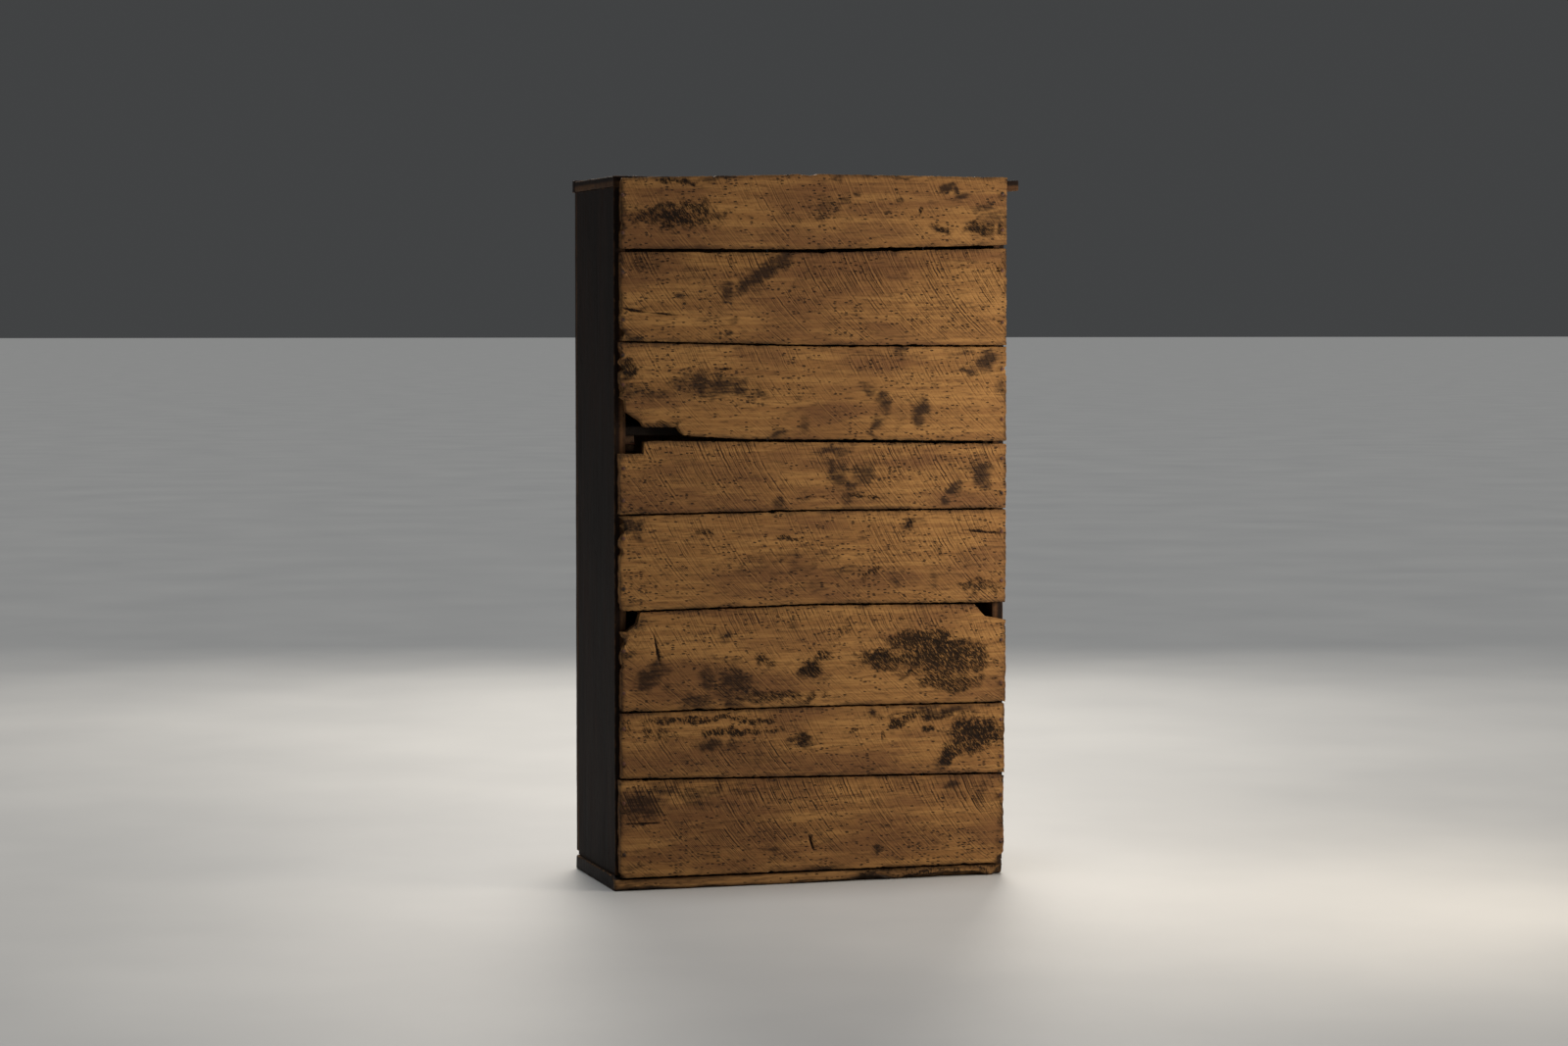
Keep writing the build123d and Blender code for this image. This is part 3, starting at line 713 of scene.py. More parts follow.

# %% [markdown]
# ## What happened to each plank
# Stains, torn grain, dense pits, deep saw scores, cracks and broken ends ("bite") are placed as soft
# ovals, and so are places where the wood is paler or darker. The table gives them for each plank and kind,
# in millimetres: x and z of the middle, half the width and height, the turn, and the strength. A turn is
# positive when the oval rises to the right as one looks at the back.

# %% Marks on the planks
plank_marks = {
    1: {
        "stain": [(372, 1240, 8, 70, 0, 0.6), (300, 1236, 80, 24, 0, 0.5), (-34, 1258, 48, 18, 0, 0.55),
            (-13, 1234, 15, 9, 0, 0.8), (-80, 1280, 8, 5, 0, 1.0), (-162, 1268, 10, 5, 0, 0.95),
            (-135, 1252, 8, 5, 0, 0.85), (-40, 1308, 12, 5, 0, 0.9), (-258, 1297, 14, 7, 30, 1.1),
            (-270, 1288, 14, 7, -50, 1.1), (-280, 1278, 14, 7, 30, 1.1), (-330, 1257, 22, 9, 10, 0.9),
            (-250, 1215, 24, 9, -15, 0.8), (-340, 1228, 44, 26, 20, 0.75), (-369, 1276, 8, 6, 0, 0.9),
            (200, 1308, 90, 6, 0, 0.8), (-130, 1315, 120, 3, 0, 0.7)],
        "torn": [(265, 1238, 112, 30, 0, 0.8), (-200, 1256, 6, 11, 10, 0.9),
            (-248, 1218, 28, 10, -20, 0.8), (-328, 1221, 46, 14, 0, 0.7), (260, 1305, 60, 6, 0, 0.7)],
        "pits": [(284, 1252, 84, 11, 0, 0.9), (284, 1219, 84, 12, 0, 0.9), (-34, 1258, 48, 18, 0, 0.9)],
        "saw": [(60, 1240, 120, 40, 0, 0.7)],
        "bite": [(378, 1222, 20, 7, 0, 0.8), (378, 1302, 20, 8, 0, 0.6)],
        "pale": [(-250, 1250, 110, 40, 0, 0.6)],
        "shade": [(300, 1235, 90, 60, 0, 0.6)],
    },
    2: {
        "stain": [(325, 1150, 38, 16, 0, 0.45), (60, 1154, 32, 15, 30, 1.1), (100, 1132, 40, 17, 42, 1.15),
            (136, 1108, 22, 13, 45, 1.0), (168, 1100, 12, 20, 0, 0.95), (255, 1093, 12, 6, 0, 0.7),
            (154, 1045, 12, 7, 0, 0.75), (169, 1025, 10, 7, 0, 0.7), (350, 1020, 22, 9, -20, 0.9)],
        "pits": [(325, 1150, 46, 18, 0, 0.8), (-355, 1136, 16, 24, 0, 0.7)],
        "saw": [(-120, 1130, 260, 50, 0, 0.9), (-250, 1075, 140, 60, 0, 0.8), (240, 1150, 130, 26, 0, 0.8),
            (330, 1160, 50, 14, 0, 1.0)],
        "crack": [(345, 1065, 26, 2.6, -9, 1.0), (293, 1059, 28, 2.2, -4, 0.8)],
        "bite": [(378, 1022, 20, 9, 0, 1.2)],
        "pale": [(200, 1050, 120, 40, 0, 0.5), (-280, 1060, 120, 40, 0, 0.6)],
        "shade": [(300, 1130, 110, 60, 0, 0.8), (-60, 1150, 200, 26, 0, 0.7)],
    },
    3: {
        "stain": [(317, 913, 44, 18, 0, 0.7), (195, 925, 84, 24, -6, 0.95), (106, 917, 20, 10, 0, 0.8),
            (-205, 878, 17, 26, 8, 1.1), (-135, 893, 13, 27, 15, 1.0), (-108, 920, 18, 9, -40, 0.8),
            (-125, 856, 14, 14, 40, 0.9), (-110, 838, 8, 12, 30, 0.8), (65, 840, 22, 11, 10, 0.8),
            (19, 857, 13, 15, 20, 0.65), (30, 890, 22, 18, 30, 0.35), (-338, 969, 30, 12, 30, 1.0),
            (-300, 950, 22, 7, -10, 0.8), (-291, 986, 30, 10, 0, 0.55), (-166, 986, 18, 14, -60, 0.75),
            (-114, 984, 24, 8, 0, 0.4), (-368, 924, 11, 16, 0, 0.8), (-302, 895, 9, 6, 0, 0.5),
            (360, 935, 12, 60, 0, 0.7)],
        "torn": [(352, 960, 20, 36, 0, 0.8), (300, 850, 60, 10, 10, 0.7)],
        "pits": [(230, 930, 130, 40, 0, 0.7)],
        "saw": [(-291, 984, 34, 12, 0, 1.2), (-140, 980, 60, 20, 0, 1.3), (120, 960, 180, 40, 0, 0.4),
            (-250, 930, 140, 40, 0, 0.4)],
        "crack": [(172, 958, 12, 2, 5, 0.8)],
        "bite": [(378, 985, 20, 10, 0, 0.9), (378, 955, 20, 9, 0, 1.2), (378, 915, 20, 14, 0, 1.1),
            (-378, 950, 20, 7, 0, 0.5)],
        "pale": [(172, 962, 28, 13, 0, 1.6), (170, 970, 110, 24, 0, 1.0), (20, 975, 80, 24, 0, 0.9),
            (-230, 920, 100, 40, 0, 0.6)],
        "shade": [(250, 900, 120, 30, 0, 0.6), (-40, 870, 60, 40, 0, 0.5), (-320, 975, 60, 20, 0, 0.6)],
    },
    4: {
        "stain": [(-37, 803, 38, 16, 5, 0.8), (-45, 762, 28, 22, 0, 0.95), (-99, 764, 28, 16, 25, 0.95),
            (-73, 744, 12, 22, 20, 0.9), (-63, 714, 13, 16, 20, 0.8), (-329, 757, 18, 32, 15, 1.05),
            (-271, 727, 20, 14, 20, 1.0), (-252, 708, 11, 12, 30, 0.8), (76, 709, 11, 13, 20, 0.75),
            (-302, 768, 16, 8, 20, 0.6), (345, 697, 40, 5, 0, 0.7)],
        "torn": [(-102, 718, 50, 5, 0, 0.7), (4, 717, 36, 4, 0, 0.6)],
        "pits": [(-102, 718, 50, 5, 0, 1.0), (4, 717, 38, 5, 0, 1.0), (330, 705, 60, 10, 0, 0.9)],
        "saw": [(200, 800, 170, 28, 0, 1.3), (-160, 806, 170, 18, 0, 1.1), (-290, 780, 90, 40, 0, 1.0),
            (60, 770, 300, 50, 0, 0.5)],
        "pale": [(-300, 780, 70, 40, 0, 0.7), (-170, 730, 100, 20, 0, 0.4)],
        "shade": [(200, 770, 180, 40, 0, 0.5)],
    },
    5: {
        "stain": [(50, 600, 135, 36, 0, 0.38), (-63, 582, 32, 12, 0, 0.6), (4, 555, 22, 15, 0, 0.6),
            (-156, 562, 16, 22, 20, 0.55), (-187, 667, 15, 10, 0, 0.75), (-235, 560, 8, 22, 0, 0.6),
            (350, 668, 30, 12, 0, 0.9), (355, 530, 22, 12, 0, 0.7), (345, 655, 20, 7, -20, 0.7)],
        "torn": [(50, 643, 32, 5, 0, 0.8), (212, 656, 20, 7, 0, 0.75), (-118, 578, 13, 7, 45, 0.9),
            (-95, 560, 26, 6, 35, 0.6), (-187, 667, 15, 10, 0, 0.7), (-320, 548, 56, 20, 0, 0.6)],
        "pits": [(340, 570, 30, 50, 0, 0.6)],
        "saw": [(-313, 545, 66, 26, 0, 1.4), (-230, 630, 150, 56, 0, 0.9), (240, 620, 130, 60, 0, 0.5)],
        "crack": [(-335, 650, 42, 2.6, -5, 1.0)],
        "bite": [(378, 672, 24, 18, 0, 1.3), (378, 628, 20, 8, 0, 0.7), (378, 520, 20, 8, 0, 0.6)],
        "pale": [(-220, 640, 160, 50, 0, 0.9), (280, 650, 110, 30, 0, 0.6)],
        "shade": [(60, 600, 160, 50, 0, 0.7), (60, 545, 200, 20, 0, 0.4)],
    },
    6: {
        "stain": [(313, 397, 36, 16, 35, 1.05), (208, 387, 15, 22, 15, 0.85), (283, 377, 14, 12, 0, 0.75),
            (156, 375, 34, 44, 0, 0.95), (228, 346, 38, 16, 0, 0.95), (9, 396, 24, 22, 20, 0.9),
            (96, 423, 18, 8, -20, 0.5), (177, 464, 13, 10, 0, 0.8), (50, 479, 18, 10, 0, 0.5),
            (-220, 440, 90, 22, 0, 0.5), (-130, 414, 40, 20, 0, 0.55), (356, 437, 16, 8, 0, 0.7),
            (116, 355, 16, 8, 0, 0.8), (340, 490, 30, 12, 20, 0.8), (372, 340, 8, 50, 0, 0.6)],
        "torn": [(9, 396, 26, 22, 20, 1.1), (-17, 424, 18, 12, 40, 0.75), (96, 423, 22, 10, -20, 0.8),
            (-172, 491, 14, 6, 0, 0.7), (-53, 479, 28, 20, 0, 0.5), (-209, 450, 82, 20, 0, 1.2),
            (-131, 412, 50, 26, 0, 1.1), (-245, 414, 112, 34, 0, 1.25), (-265, 369, 78, 24, 0, 1.0),
            (60, 350, 120, 14, 0, 0.6)],
        "saw": [(60, 488, 250, 36, 0, 1.0), (-230, 490, 130, 26, 0, 1.0), (180, 350, 160, 26, 0, 0.8)],
        "crack": [(303, 441, 30, 2.4, -78, 1.1)],
        "bite": [(378, 458, 22, 12, 0, 1.2), (378, 415, 20, 8, 0, 0.6)],
        "pale": [(260, 465, 110, 40, 0, 0.9), (-330, 440, 50, 70, 0, 1.0), (-180, 380, 160, 40, 0, 0.8),
            (-60, 440, 50, 60, 0, 0.6)],
        "shade": [(200, 380, 120, 40, 0, 0.5)],
    },
    7: {
        "stain": [(198, 262, 28, 11, 0, 0.95), (157, 265, 16, 10, 0, 0.8), (24, 267, 28, 15, 0, 1.0),
            (-246, 313, 70, 10, 0, 1.0), (-314, 268, 50, 28, 0, 0.6), (-256, 218, 22, 14, 20, 0.9),
            (-110, 310, 12, 7, 0, 0.95), (120, 240, 60, 22, 0, 0.35), (-80, 212, 200, 7, 0, 0.4)],
        "torn": [(205, 309, 165, 8, 0, 0.95), (150, 286, 100, 8, 3, 0.95), (300, 285, 60, 14, 0, 0.6),
            (24, 270, 30, 16, 0, 0.8), (-314, 266, 62, 38, 0, 1.2), (-270, 232, 34, 18, 30, 1.0),
            (-68, 283, 13, 8, 0, 0.95), (-136, 274, 8, 10, 0, 0.9), (-219, 279, 16, 8, 0, 0.9),
            (-162, 295, 24, 11, 10, 1.0), (-200, 305, 120, 12, 0, 0.7), (370, 300, 10, 20, 0, 0.8),
            (210, 285, 60, 12, 0, 0.5)],
        "saw": [(116, 240, 90, 34, 0, 1.3), (270, 240, 90, 30, 0, 1.0)],
        "pale": [(200, 298, 180, 22, 0, 1.0), (-100, 290, 140, 24, 0, 0.8), (-230, 240, 60, 30, 0, 0.6)],
        "shade": [(50, 225, 300, 24, 0, 0.8)],
    },
    8: {
        "stain": [(338, 158, 42, 30, 0, 1.05), (250, 180, 130, 14, 0, 0.6), (213, 162, 44, 10, 0, 0.6),
            (-272, 170, 13, 17, -60, 0.85), (-325, 160, 14, 30, -10, 0.55), (81, 66, 14, 6, 0, 0.75),
            (-126, 58, 11, 8, 0, 0.9), (254, 68, 7, 5, 0, 0.9), (-257, 53, 9, 5, 0, 0.9),
            (-17, 29, 34, 5, 0, 0.85), (350, 45, 24, 10, 0, 0.7), (-368, 100, 10, 60, 0, 0.5)],
        "pits": [(-250, 60, 110, 30, 0, 0.7), (150, 48, 200, 14, 0, 0.6)],
        "saw": [(320, 178, 60, 30, 0, 1.6), (120, 168, 180, 34, 0, 1.3), (-300, 158, 60, 36, 0, 1.6),
            (-140, 176, 110, 22, 0, 1.2), (100, 110, 260, 50, 0, 0.8)],
        "crack": [(326, 124, 38, 2.2, 1, 0.8), (7, 76, 18, 2.4, -72, 1.2)],
        "bite": [(378, 28, 20, 8, 0, 0.8), (-378, 25, 20, 12, 0, 1.6)],
        "pale": [(-60, 175, 90, 16, 0, 0.6), (150, 150, 60, 20, 0, 0.3)],
        "shade": [(60, 120, 320, 80, 0, 0.5), (320, 165, 60, 40, 0, 0.8)],
    },
}
print("marks:", sum(len(ovals) for kinds in plank_marks.values() for ovals in kinds.values()))


# %% Layers from the marks
def mark_layers(number, x, z):
    """The strength of each kind of mark at points on a plank's outer face."""
    kinds = ("stain", "torn", "pits", "saw", "crack", "pale", "shade", "bite")
    found = {kind: np.zeros(len(x)) for kind in kinds}
    spot = np.stack([x, 0 * x, z], 1)
    waver = [0.007 * noise(spot / 0.034, seed, 1) + 0.004 * noise(spot / 0.011, seed, 2)
             for seed in (number, number + 50)]
    for kind, ovals in plank_marks[number].items():
        loose = 0.12 if kind == "crack" else 1.0  # how much the outline wavers
        end = 1.75 if kind == "stain" else 1.45  # where it has faded out, in half widths
        for middle_x, middle_z, half_x, half_z, turn, strength in ovals:
            right = middle_x / 1000 - x + loose * waver[0]
            up = z - middle_z / 1000 + loose * waver[1]
            angle = math.radians(turn)
            u = (right * math.cos(angle) + up * math.sin(angle)) / (half_x / 1000)
            v = (up * math.cos(angle) - right * math.sin(angle)) / (half_z / 1000)
            value = strength * (1 - ramp(np.sqrt(u * u + v * v), 0.2, end))
            found[kind] = np.maximum(found[kind], value)
    return found


# Each plank's lean: how far its upper and its lower edge are set back, in millimetres.
plank_lean = {1: (1.2, 0.0), 2: (4.4, 0.6), 3: (0.8, 0.5), 4: (1.5, 0.3), 5: (0.6, 0.6),
              6: (1.6, 0.2), 7: (0.9, 0.5), 8: (1.3, 0.4)}
# How strongly the saw scored each plank as a whole.
plank_scores = {1: 0.35, 2: 0.75, 3: 0.45, 4: 0.6, 5: 0.5, 6: 0.55, 7: 0.45, 8: 0.7}
blade_rise = 0.137  # height of the blade's middle above a plank's upper edge


def back_plank(number):
    """One rough plank: outline and lean, saw scores, dents and worn or broken edges."""
    node = f"back_plank_{number}"
    low, high = (np.array(corner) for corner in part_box(node))
    size = high - low
    seed = 100 + 13 * number
    cells = (0.0026, 0.006, 0.0026)  # along, through and up the plank
    lines = [lattice_lines(length, cell) for length, cell in zip(size, cells)]
    flat, faces = box_shell(lines)
    lower, upper = plank_edges(node, lines[0] + low[0])
    station = np.stack([lines[0] / 0.012, 0 * lines[0], 0 * lines[0]], 1)
    for edge, sign in ((lower, 1), (upper, -1)):
        ragged = 0.0002 + 0.0005 * (1 + noise(station * 1.6, seed + sign, 3))
        chips = np.clip(noise(station * 0.6, seed + 40 + sign, 3) - 0.75, 0, 1) * 0.0035
        edge += sign * (ragged.clip(0) + chips)
    column = np.searchsorted(lines[0], flat[:, 0] - 1e-9)
    extent = np.tile(size, (len(flat), 1))
    extent[:, 2] = (upper - lower)[column]
    share = flat[:, 2] / size[2]
    local = flat.copy()
    local[:, 2] = share * extent[:, 2]
    edge = edge_distance(local, extent)
    spot = local + low
    spot[:, 2] = lower[column] + local[:, 2]
    radius = np.minimum(wear_radius(spot, 0.0014, seed), 0.007)
    radius = np.minimum(radius, 0.45 * extent.min(1, keepdims=True))
    points = rounded(local, extent, radius)
    points[:, 0] += low[0]
    points[:, 1] += low[1]
    points[:, 2] += lower[column]

    found = mark_layers(number, spot[:, 0], spot[:, 2])

    # Ragged ends: the saw's last fibres broke off, so the end line wanders in and out.
    rag = np.stack([0 * share, spot[:, 2] / 0.011, spot[:, 1] / 0.012], 1)
    for end, sign in ((low[0], 1), (high[0], -1)):
        reach = 1 - ramp(abs(spot[:, 0] - end), 0.0, 0.02)
        uneven = noise(rag, seed + 60 + sign, 3)
        bite = 0.0011 * (1 + uneven).clip(0) + 0.0065 * found["bite"] * (1 + 0.5 * uneven)
        points[:, 0] += sign * reach * bite

    path = np.sqrt(blade_radius**2 - (blade_rise + (1 - share) * size[2])**2) - spot[:, 0]
    nearest = np.full(len(flat), 1.0)
    for seat, _, _ in nail_places["back_plank_nails"]:
        nearest = np.minimum(nearest, np.linalg.norm(spot - seat, axis=1))

    side = 2 * local[:, 1] / size[1] - 1
    outer = ramp(side, 0.6, 1.0)
    top_back, low_back = plank_lean[number]
    lean = (low_back + (top_back - low_back) * ramp(share, 0.45, 1.0)) / 1000
    sawn = 0.35 + found["saw"]
    teeth = noise(np.stack([path / 0.0045, 0 * path, 0 * path], 1), seed + 5, 1)
    patch = ramp(noise(spot / (0.05, 1, 0.03), seed + 6), -0.3, 0.6)
    relief = lean + 0.00028 * sawn * patch * (1 - teeth)
    relief += 0.0005 * (1 + noise(spot / (0.16, 1, 0.04), seed + 8, 3)).clip(0)
    relief += 0.0010 * found["torn"] * (0.6 + noise(spot / 0.006, seed + 9, 2)).clip(0)
    relief += 0.0024 * found["crack"] + 0.0005 * found["pits"] * (
        noise(spot / (0.009, 1, 0.004), seed + 10) > 0.35)
    inner = 0.0005 * (1 + noise(spot / (0.1, 1, 0.03), seed + 12, 3)).clip(0)
    keep = ramp(nearest, 0.0038, 0.011)
    points[:, 1] -= np.where(side > 0, outer * relief * keep, side * inner)

    rust = 0.6 * ramp(-nearest, -0.009, -0.003)
    seen = ramp(side, -0.9, 0.2)
    layers = {
        "grain": np.stack([-spot[:, 0], spot[:, 2], spot[:, 1]], 1) + grain_shift(seed),
        "marks": np.stack([np.max([found["stain"], 1.5 * found["crack"], 0.8 * found["bite"], rust], 0)
                           * seen,
                           np.maximum(found["torn"], found["crack"]) * seen,
                           found["pits"] * seen], 1),
        "cut": np.stack([path, plank_scores[number] + 0.55 * found["saw"], edge], 1),
        "coat": np.zeros(len(flat)),
        "shade": seen * (found["shade"] - found["pale"]) + 1.5 * (1 - seen),
    }
    return make_piece(f"worn_{node}", points, faces, rough_pine, [node], layers)


for number in range(1, 9):
    plank = back_plank(number)
    print(plank.name, len(plank.data.polygons), "faces")

# %% [markdown]
# ## Forged iron
# The hinges were beaten out of bar iron, so their faces are a little uneven and their edges soft.
# A voxel Remesh of the merged CAD solid gives even small faces, a Smooth softens the arrises, and
# shallow hammer dents are then pressed in, only inwards, so that the hinges still turn freely.

# %% Iron finish
def iron(name, scale, rust_share, dull):
    """Iron with forge scale and rust: scale and rust are hex colours."""
    material, tree, shader = new_material(name)
    place = add(tree, "ShaderNodeTexCoord", out=3)
    blotch = add(tree, "ShaderNodeTexNoise", {"Vector": place, "Scale": 70.0, "Detail": 6.0})
    grit = add(tree, "ShaderNodeTexNoise", {"Vector": place, "Scale": 900.0, "Detail": 3.0})
    dent = add(tree, "ShaderNodeTexVoronoi", {"Vector": place, "Scale": 120.0, "Smoothness": 0.8},
               feature="SMOOTH_F1")
    share = add(tree, "ShaderNodeMapRange", {0: blotch, 1: 0.62 - rust_share, 2: 0.74 - rust_share},
                interpolation_type="SMOOTHSTEP")
    brown = add(tree, "ShaderNodeMix", {0: grit, 6: linear("3d2114"), 7: linear("6b3a1f")},
                out=2, data_type="RGBA")
    black = add(tree, "ShaderNodeMix", {0: blotch, 6: linear(scale), 7: linear("4a4540")},
                out=2, data_type="RGBA")
    colour = add(tree, "ShaderNodeMix", {0: share, 6: black, 7: brown}, out=2, data_type="RGBA")
    tree.links.new(colour, shader.inputs["Base Color"])
    metal = add(tree, "ShaderNodeMath", {0: 0.85, 1: share}, operation="SUBTRACT")
    tree.links.new(metal, shader.inputs["Metallic"])
    rough = add(tree, "ShaderNodeMath", {0: grit, 1: 0.25, 2: dull}, operation="MULTIPLY_ADD")
    tree.links.new(rough, shader.inputs["Roughness"])
    height = add(tree, "ShaderNodeMath", {0: grit, 1: 0.3, 2: dent}, operation="MULTIPLY_ADD")
    bump = add(tree, "ShaderNodeBump", {"Height": height, "Distance": 0.0006, "Strength": 0.7})
    tree.links.new(bump, shader.inputs["Normal"])
    return material


# Wrought iron with the black scale of the forge and a little rust: dark, with a low grey shine.
forged_iron = iron("wrought_iron_hammered", "23201e", 0.06, 0.38)
# Hand-cut nails that rusted in the wood: brown and dull.
nail_iron = iron("nail_iron_rusted", "2e231b", 0.24, 0.5)
print("iron finishes:", forged_iron.name, nail_iron.name)


# %% Forge the hinges
def softened(node, name, voxel, passes, dent, finish, layers=None):
    """A hand-made copy of a CAD node: remeshed, smoothed, and dented inwards by noise.
    layers may be a function that gives the piece's named layers at its points."""
    mesh = frame["nodes"][node].data.copy()
    work = bmesh.new()
    work.from_mesh(mesh)
    bmesh.ops.remove_doubles(work, verts=work.verts, dist=1e-6)
    work.to_mesh(mesh)
    work.free()
    blank = bpy.data.objects.new("blank", mesh)
    bpy.context.scene.collection.objects.link(blank)
    remesh = blank.modifiers.new("even faces", "REMESH")
    remesh.mode = "VOXEL"
    remesh.voxel_size = voxel
    smooth = blank.modifiers.new("soft arrises", "SMOOTH")
    smooth.iterations = passes
    view = blank.evaluated_get(bpy.context.evaluated_depsgraph_get())
    count = len(view.data.vertices)
    points, normals = np.empty(count * 3), np.empty(count * 3)
    view.data.vertices.foreach_get("co", points)
    view.data.vertex_normals.foreach_get("vector", normals)
    points, normals = points.reshape(-1, 3), normals.reshape(-1, 3)
    faces = [tuple(face.vertices) for face in view.data.polygons]
    bpy.data.objects.remove(blank)
    depth = dent * (0.5 + 0.5 * noise(points / 0.007, board_number(node), 2)).clip(0, 1)
    low, high = (np.array(corner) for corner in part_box(node))
    points = np.clip(points - normals * depth[:, None], low, high)
    made = layers(points) if layers else {}
    return make_piece(name, points, faces, finish, [node], made)


for side_name in ("left", "right"):
    for level in ("upper", "lower"):
        for part in ("strap", "leaf"):
            node = f"{side_name}_{level}_{part}"
            piece = softened(node, f"forged_{node}", 0.0008, 3, 0.00035, forged_iron)
            print(piece.name, len(piece.data.polygons), "faces")
softened("hinge_pins", "forged_hinge_pins", 0.0005, 2, 0.0001, forged_iron)
softened("button_screw", "filed_button_screw", 0.0004, 1, 0.0001, forged_iron)

# %% [markdown]
# ## Hand-worn wood
# The knobs were turned on a lathe and the button was whittled with a knife. Hands have polished
# them, so their finish is smoother and shinier than that of the boards.

# %% Knobs and turn button
# Fruitwood, turned or carved, then darkened and polished by touch: dark, smooth, softly glossy.
handled_wood = weathered_wood("fruitwood_dark_from_handling", ("5a3a22", "452b19", "382213", "24150c"),
                              None, "1c110a", sawn=0.0, pits=0.15, rough=0.42, depth=0.35)


def handled_layers(points, along):
    """Layers for a carved piece whose fibres run along one axis."""
    order = [along] + [axis for axis in range(3) if axis != along]
    none = np.zeros(len(points))
    return {
        "grain": points[:, order] * 0.6 + 3.7,
        "marks": np.stack([none, none, none], 1),
        "cut": np.stack([points[:, 0], none, none + 0.05], 1),
        "coat": none,
        "shade": none,
    }


for side_name in ("left", "right"):
    softened(f"{side_name}_knob", f"turned_{side_name}_knob", 0.0006, 3, 0.0001, handled_wood,
             lambda points: handled_layers(points, 1))
softened("turn_button", "whittled_turn_button", 0.0008, 4, 0.0004, handled_wood,
         lambda points: handled_layers(points, 0))
print("knobs and button made")

# %% [markdown]
# ## Nails and pegs
# More than a hundred nails repeat one shape: a rose head, beaten to a few facets, on a square
# tapered shank. That is a job for Geometry Nodes. A point stands at each head's seat and carries
# the way the nail points, and the tree puts one nail there, turned by chance about its own axis.

# %% The tree
def fixing_tree():
    """Nodes that put a headed, tapered fixing on each point of a mesh."""
    tree = bpy.data.node_groups.new("fixings_on_points", "GeometryNodeTree")
    for name, kind in (("Points", "Geometry"), ("Head Radius", "Float"), ("Head Height", "Float"),
                       ("Shank Radius", "Float"), ("Shank Length", "Float"), ("Sides", "Int"),
                       ("Seed", "Int"), ("Finish", "Material")):
        tree.interface.new_socket(name, in_out="INPUT", socket_type=f"NodeSocket{kind}")
    tree.interface.new_socket("Fixings", in_out="OUTPUT", socket_type="NodeSocketGeometry")
    given = add(tree, "NodeGroupInput").node.outputs
    small = add(tree, "ShaderNodeMath", {0: given["Head Radius"], 1: 0.38}, operation="MULTIPLY")
    head = add(tree, "GeometryNodeMeshCone",
               {"Vertices": given["Sides"], "Side Segments": 2, "Radius Top": small,
                "Radius Bottom": given["Head Radius"], "Depth": given["Head Height"]})
    shank = add(tree, "GeometryNodeMeshCone",
                {"Vertices": 4, "Radius Top": given["Shank Radius"], "Radius Bottom": 0.0004,
                 "Depth": given["Shank Length"]})
    drop = add(tree, "ShaderNodeMath", {0: given["Shank Length"], 1: -1.0}, operation="MULTIPLY")
    below = add(tree, "ShaderNodeCombineXYZ", {"Z": drop})
    shank = add(tree, "GeometryNodeTransform", {"Geometry": shank, "Translation": below})
    joined = add(tree, "GeometryNodeJoinGeometry")
    tree.links.new(shank, joined.node.inputs[0])
    tree.links.new(head, joined.node.inputs[0])
    way = add(tree, "GeometryNodeInputNamedAttribute", {"Name": "outward"}, data_type="FLOAT_VECTOR")
    facing = add(tree, "FunctionNodeAlignRotationToVector", {"Vector": way}, axis="Z")
    chance = add(tree, "FunctionNodeRandomValue",
                 {0: (0.0, 0.0, 0.0), 1: (0.0, 0.0, 2 * math.pi), "Seed": given["Seed"]},
                 data_type="FLOAT_VECTOR")
    turned = add(tree, "FunctionNodeRotateRotation", {"Rotation": facing, "Rotate By": chance},
                 rotation_space="LOCAL")
    placed = add(tree, "GeometryNodeInstanceOnPoints",
                 {"Points": given["Points"], "Instance": joined, "Rotation": turned})
    real = add(tree, "GeometryNodeRealizeInstances", {"Geometry": placed})
    shape = add(tree, "ShaderNodeTexNoise", {"Scale": 420.0, "Detail": 0.0}, out=1)
    beaten = add(tree, "ShaderNodeVectorMath", {0: shape, 1: (0.5, 0.5, 0.5)}, operation="SUBTRACT")
    beaten = add(tree, "ShaderNodeVectorMath", {0: beaten, "Scale": 0.0009}, operation="SCALE")
    real = add(tree, "GeometryNodeSetPosition", {"Geometry": real, "Offset": beaten})
    place = add(tree, "GeometryNodeInputPosition")
    real = add(tree, "GeometryNodeStoreNamedAttribute",
               {"Geometry": real, "Name": "grain", "Value": place}, data_type="FLOAT_VECTOR")
    finished = add(tree, "GeometryNodeSetMaterial", {"Geometry": real, "Material": given["Finish"]})
    add(tree, "NodeGroupOutput", {0: finished})
    return tree


fixing_nodes = fixing_tree()
print("tree inputs:", [item.name for item in fixing_nodes.interface.items_tree])


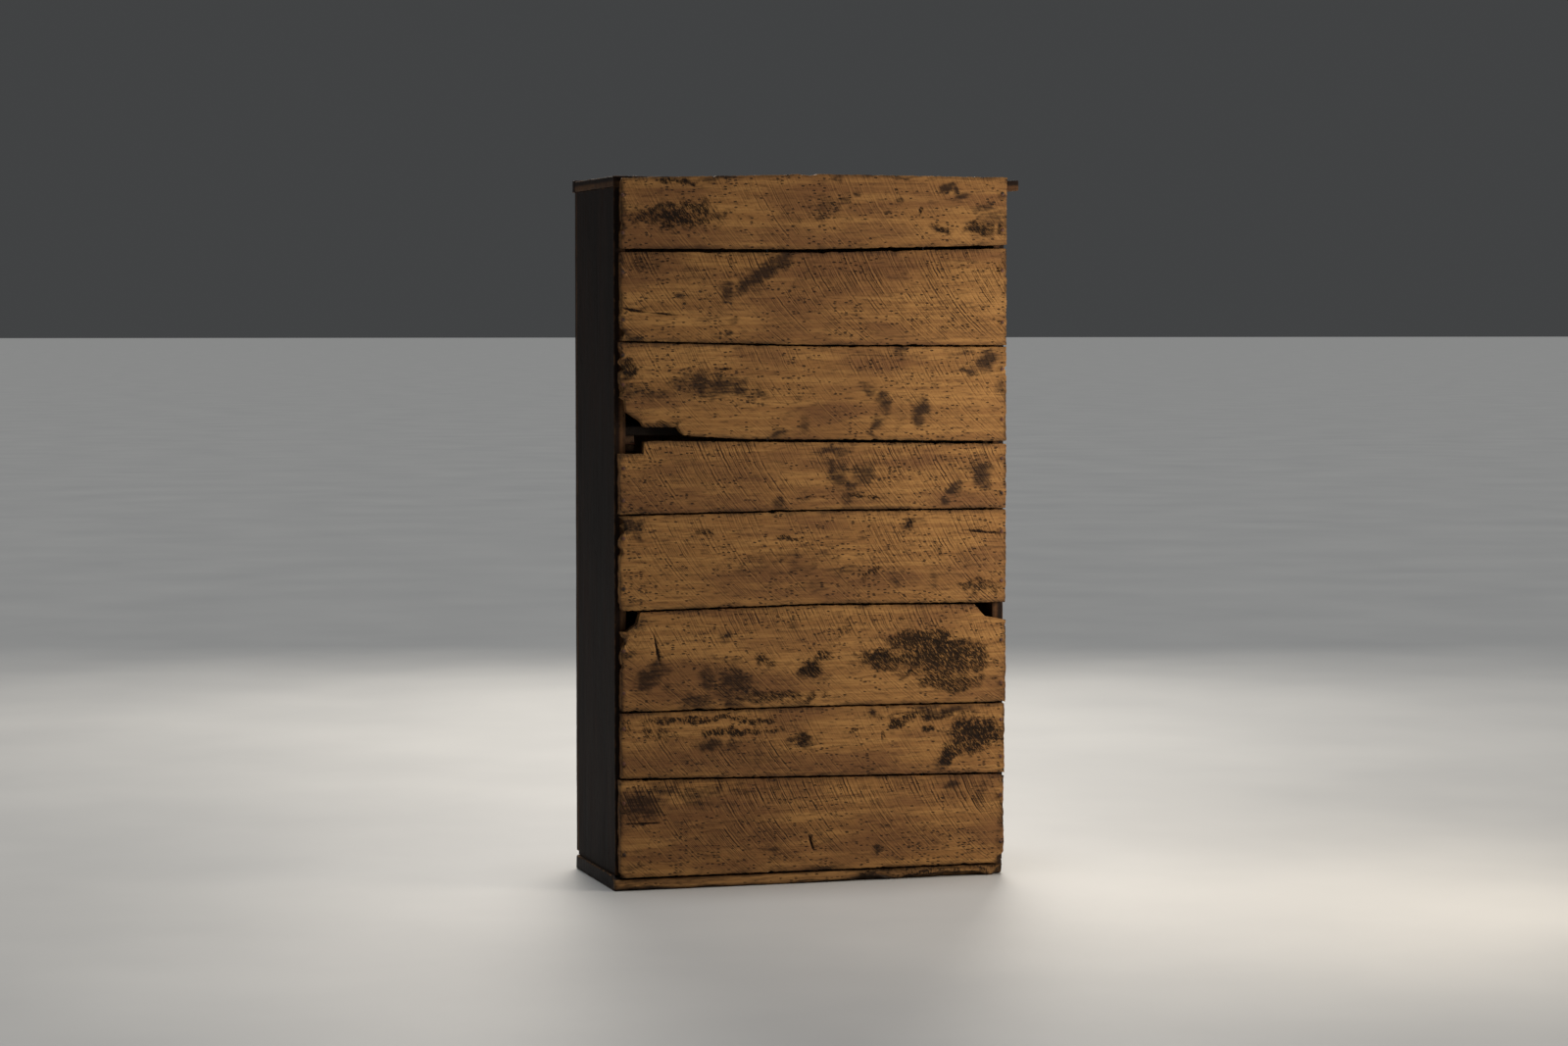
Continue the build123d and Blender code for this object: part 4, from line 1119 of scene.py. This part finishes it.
# %% Drive them in
def drive(name, nodes, finish, slot, **sizes):
    """One mesh with a fixing at each place found in some CAD nodes of one body."""
    places = [place for node in nodes for place in fixings(node)]
    mesh = bpy.data.meshes.new(name)
    mesh.from_pydata([seat for seat, _, _ in places], [], [])
    outward = mesh.attributes.new("outward", "FLOAT_VECTOR", "POINT")
    outward.data.foreach_set("vector", np.array([way for _, way, _ in places]).ravel())
    holder = bpy.data.objects.new("places", mesh)
    bpy.context.scene.collection.objects.link(holder)
    modifier = holder.modifiers.new("fixings", "NODES")
    modifier.node_group = fixing_nodes
    values = {**sizes, "Finish": finish}
    for item in fixing_nodes.interface.items_tree:
        if item.in_out == "INPUT" and item.name in values:
            modifier[item.identifier] = values[item.name]
    view = holder.evaluated_get(bpy.context.evaluated_depsgraph_get())
    baked = bpy.data.meshes.new_from_object(view)
    bpy.data.objects.remove(holder)
    baked.name = name
    piece = bpy.data.objects.new(name, baked)
    bpy.context.scene.collection.objects.link(piece)
    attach(piece, body_of[nodes[0]])
    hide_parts(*nodes)
    print(name, "-", len(places), "fixings,", len(baked.polygons), "faces")
    return piece


nail_sizes = {"Head Radius": 0.0037, "Head Height": 0.0011, "Shank Radius": 0.0019, "Sides": 8}
drive("case_rose_nails", ["back_plank_nails", "case_nails", "frame_nails", "shelf_nails"],
      nail_iron, "forged_iron", **nail_sizes, **{"Shank Length": 0.030, "Seed": 3})
drive("leaf_rose_nails", ["hinge_leaf_nails"], nail_iron, "forged_iron",
      **nail_sizes, **{"Shank Length": 0.014, "Seed": 5})
for side_name in ("left", "right"):
    drive(f"{side_name}_door_rose_nails", [f"{side_name}_door_nails", f"{side_name}_strap_nails"],
          nail_iron, "forged_iron", **nail_sizes, **{"Shank Length": 0.026, "Seed": 7})

# %% Pegs
# Oak pegs, split rather than sawn and driven in dry: dark end grain with no coat of its own.
peg_oak = weathered_wood("oak_split_into_pegs", ("6a4a2e", "563a23", "402a19", "27180e"), None, "150c07",
                         sawn=0.0, pits=0.2, rough=0.6, depth=0.6)
drive("riven_frame_pegs", ["frame_pegs"], peg_oak, "stained_boards",
      **{"Head Radius": 0.0039, "Head Height": 0.0004, "Shank Radius": 0.0039,
         "Shank Length": 0.014, "Sides": 8, "Seed": 9})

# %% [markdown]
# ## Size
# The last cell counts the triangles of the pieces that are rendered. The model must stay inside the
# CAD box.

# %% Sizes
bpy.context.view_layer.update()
triangles = sum(len(face.vertices) - 2 for piece in bpy.data.objects
                if piece.type == "MESH" and not piece.hide_render for face in piece.data.polygons)
print("triangles:", triangles)
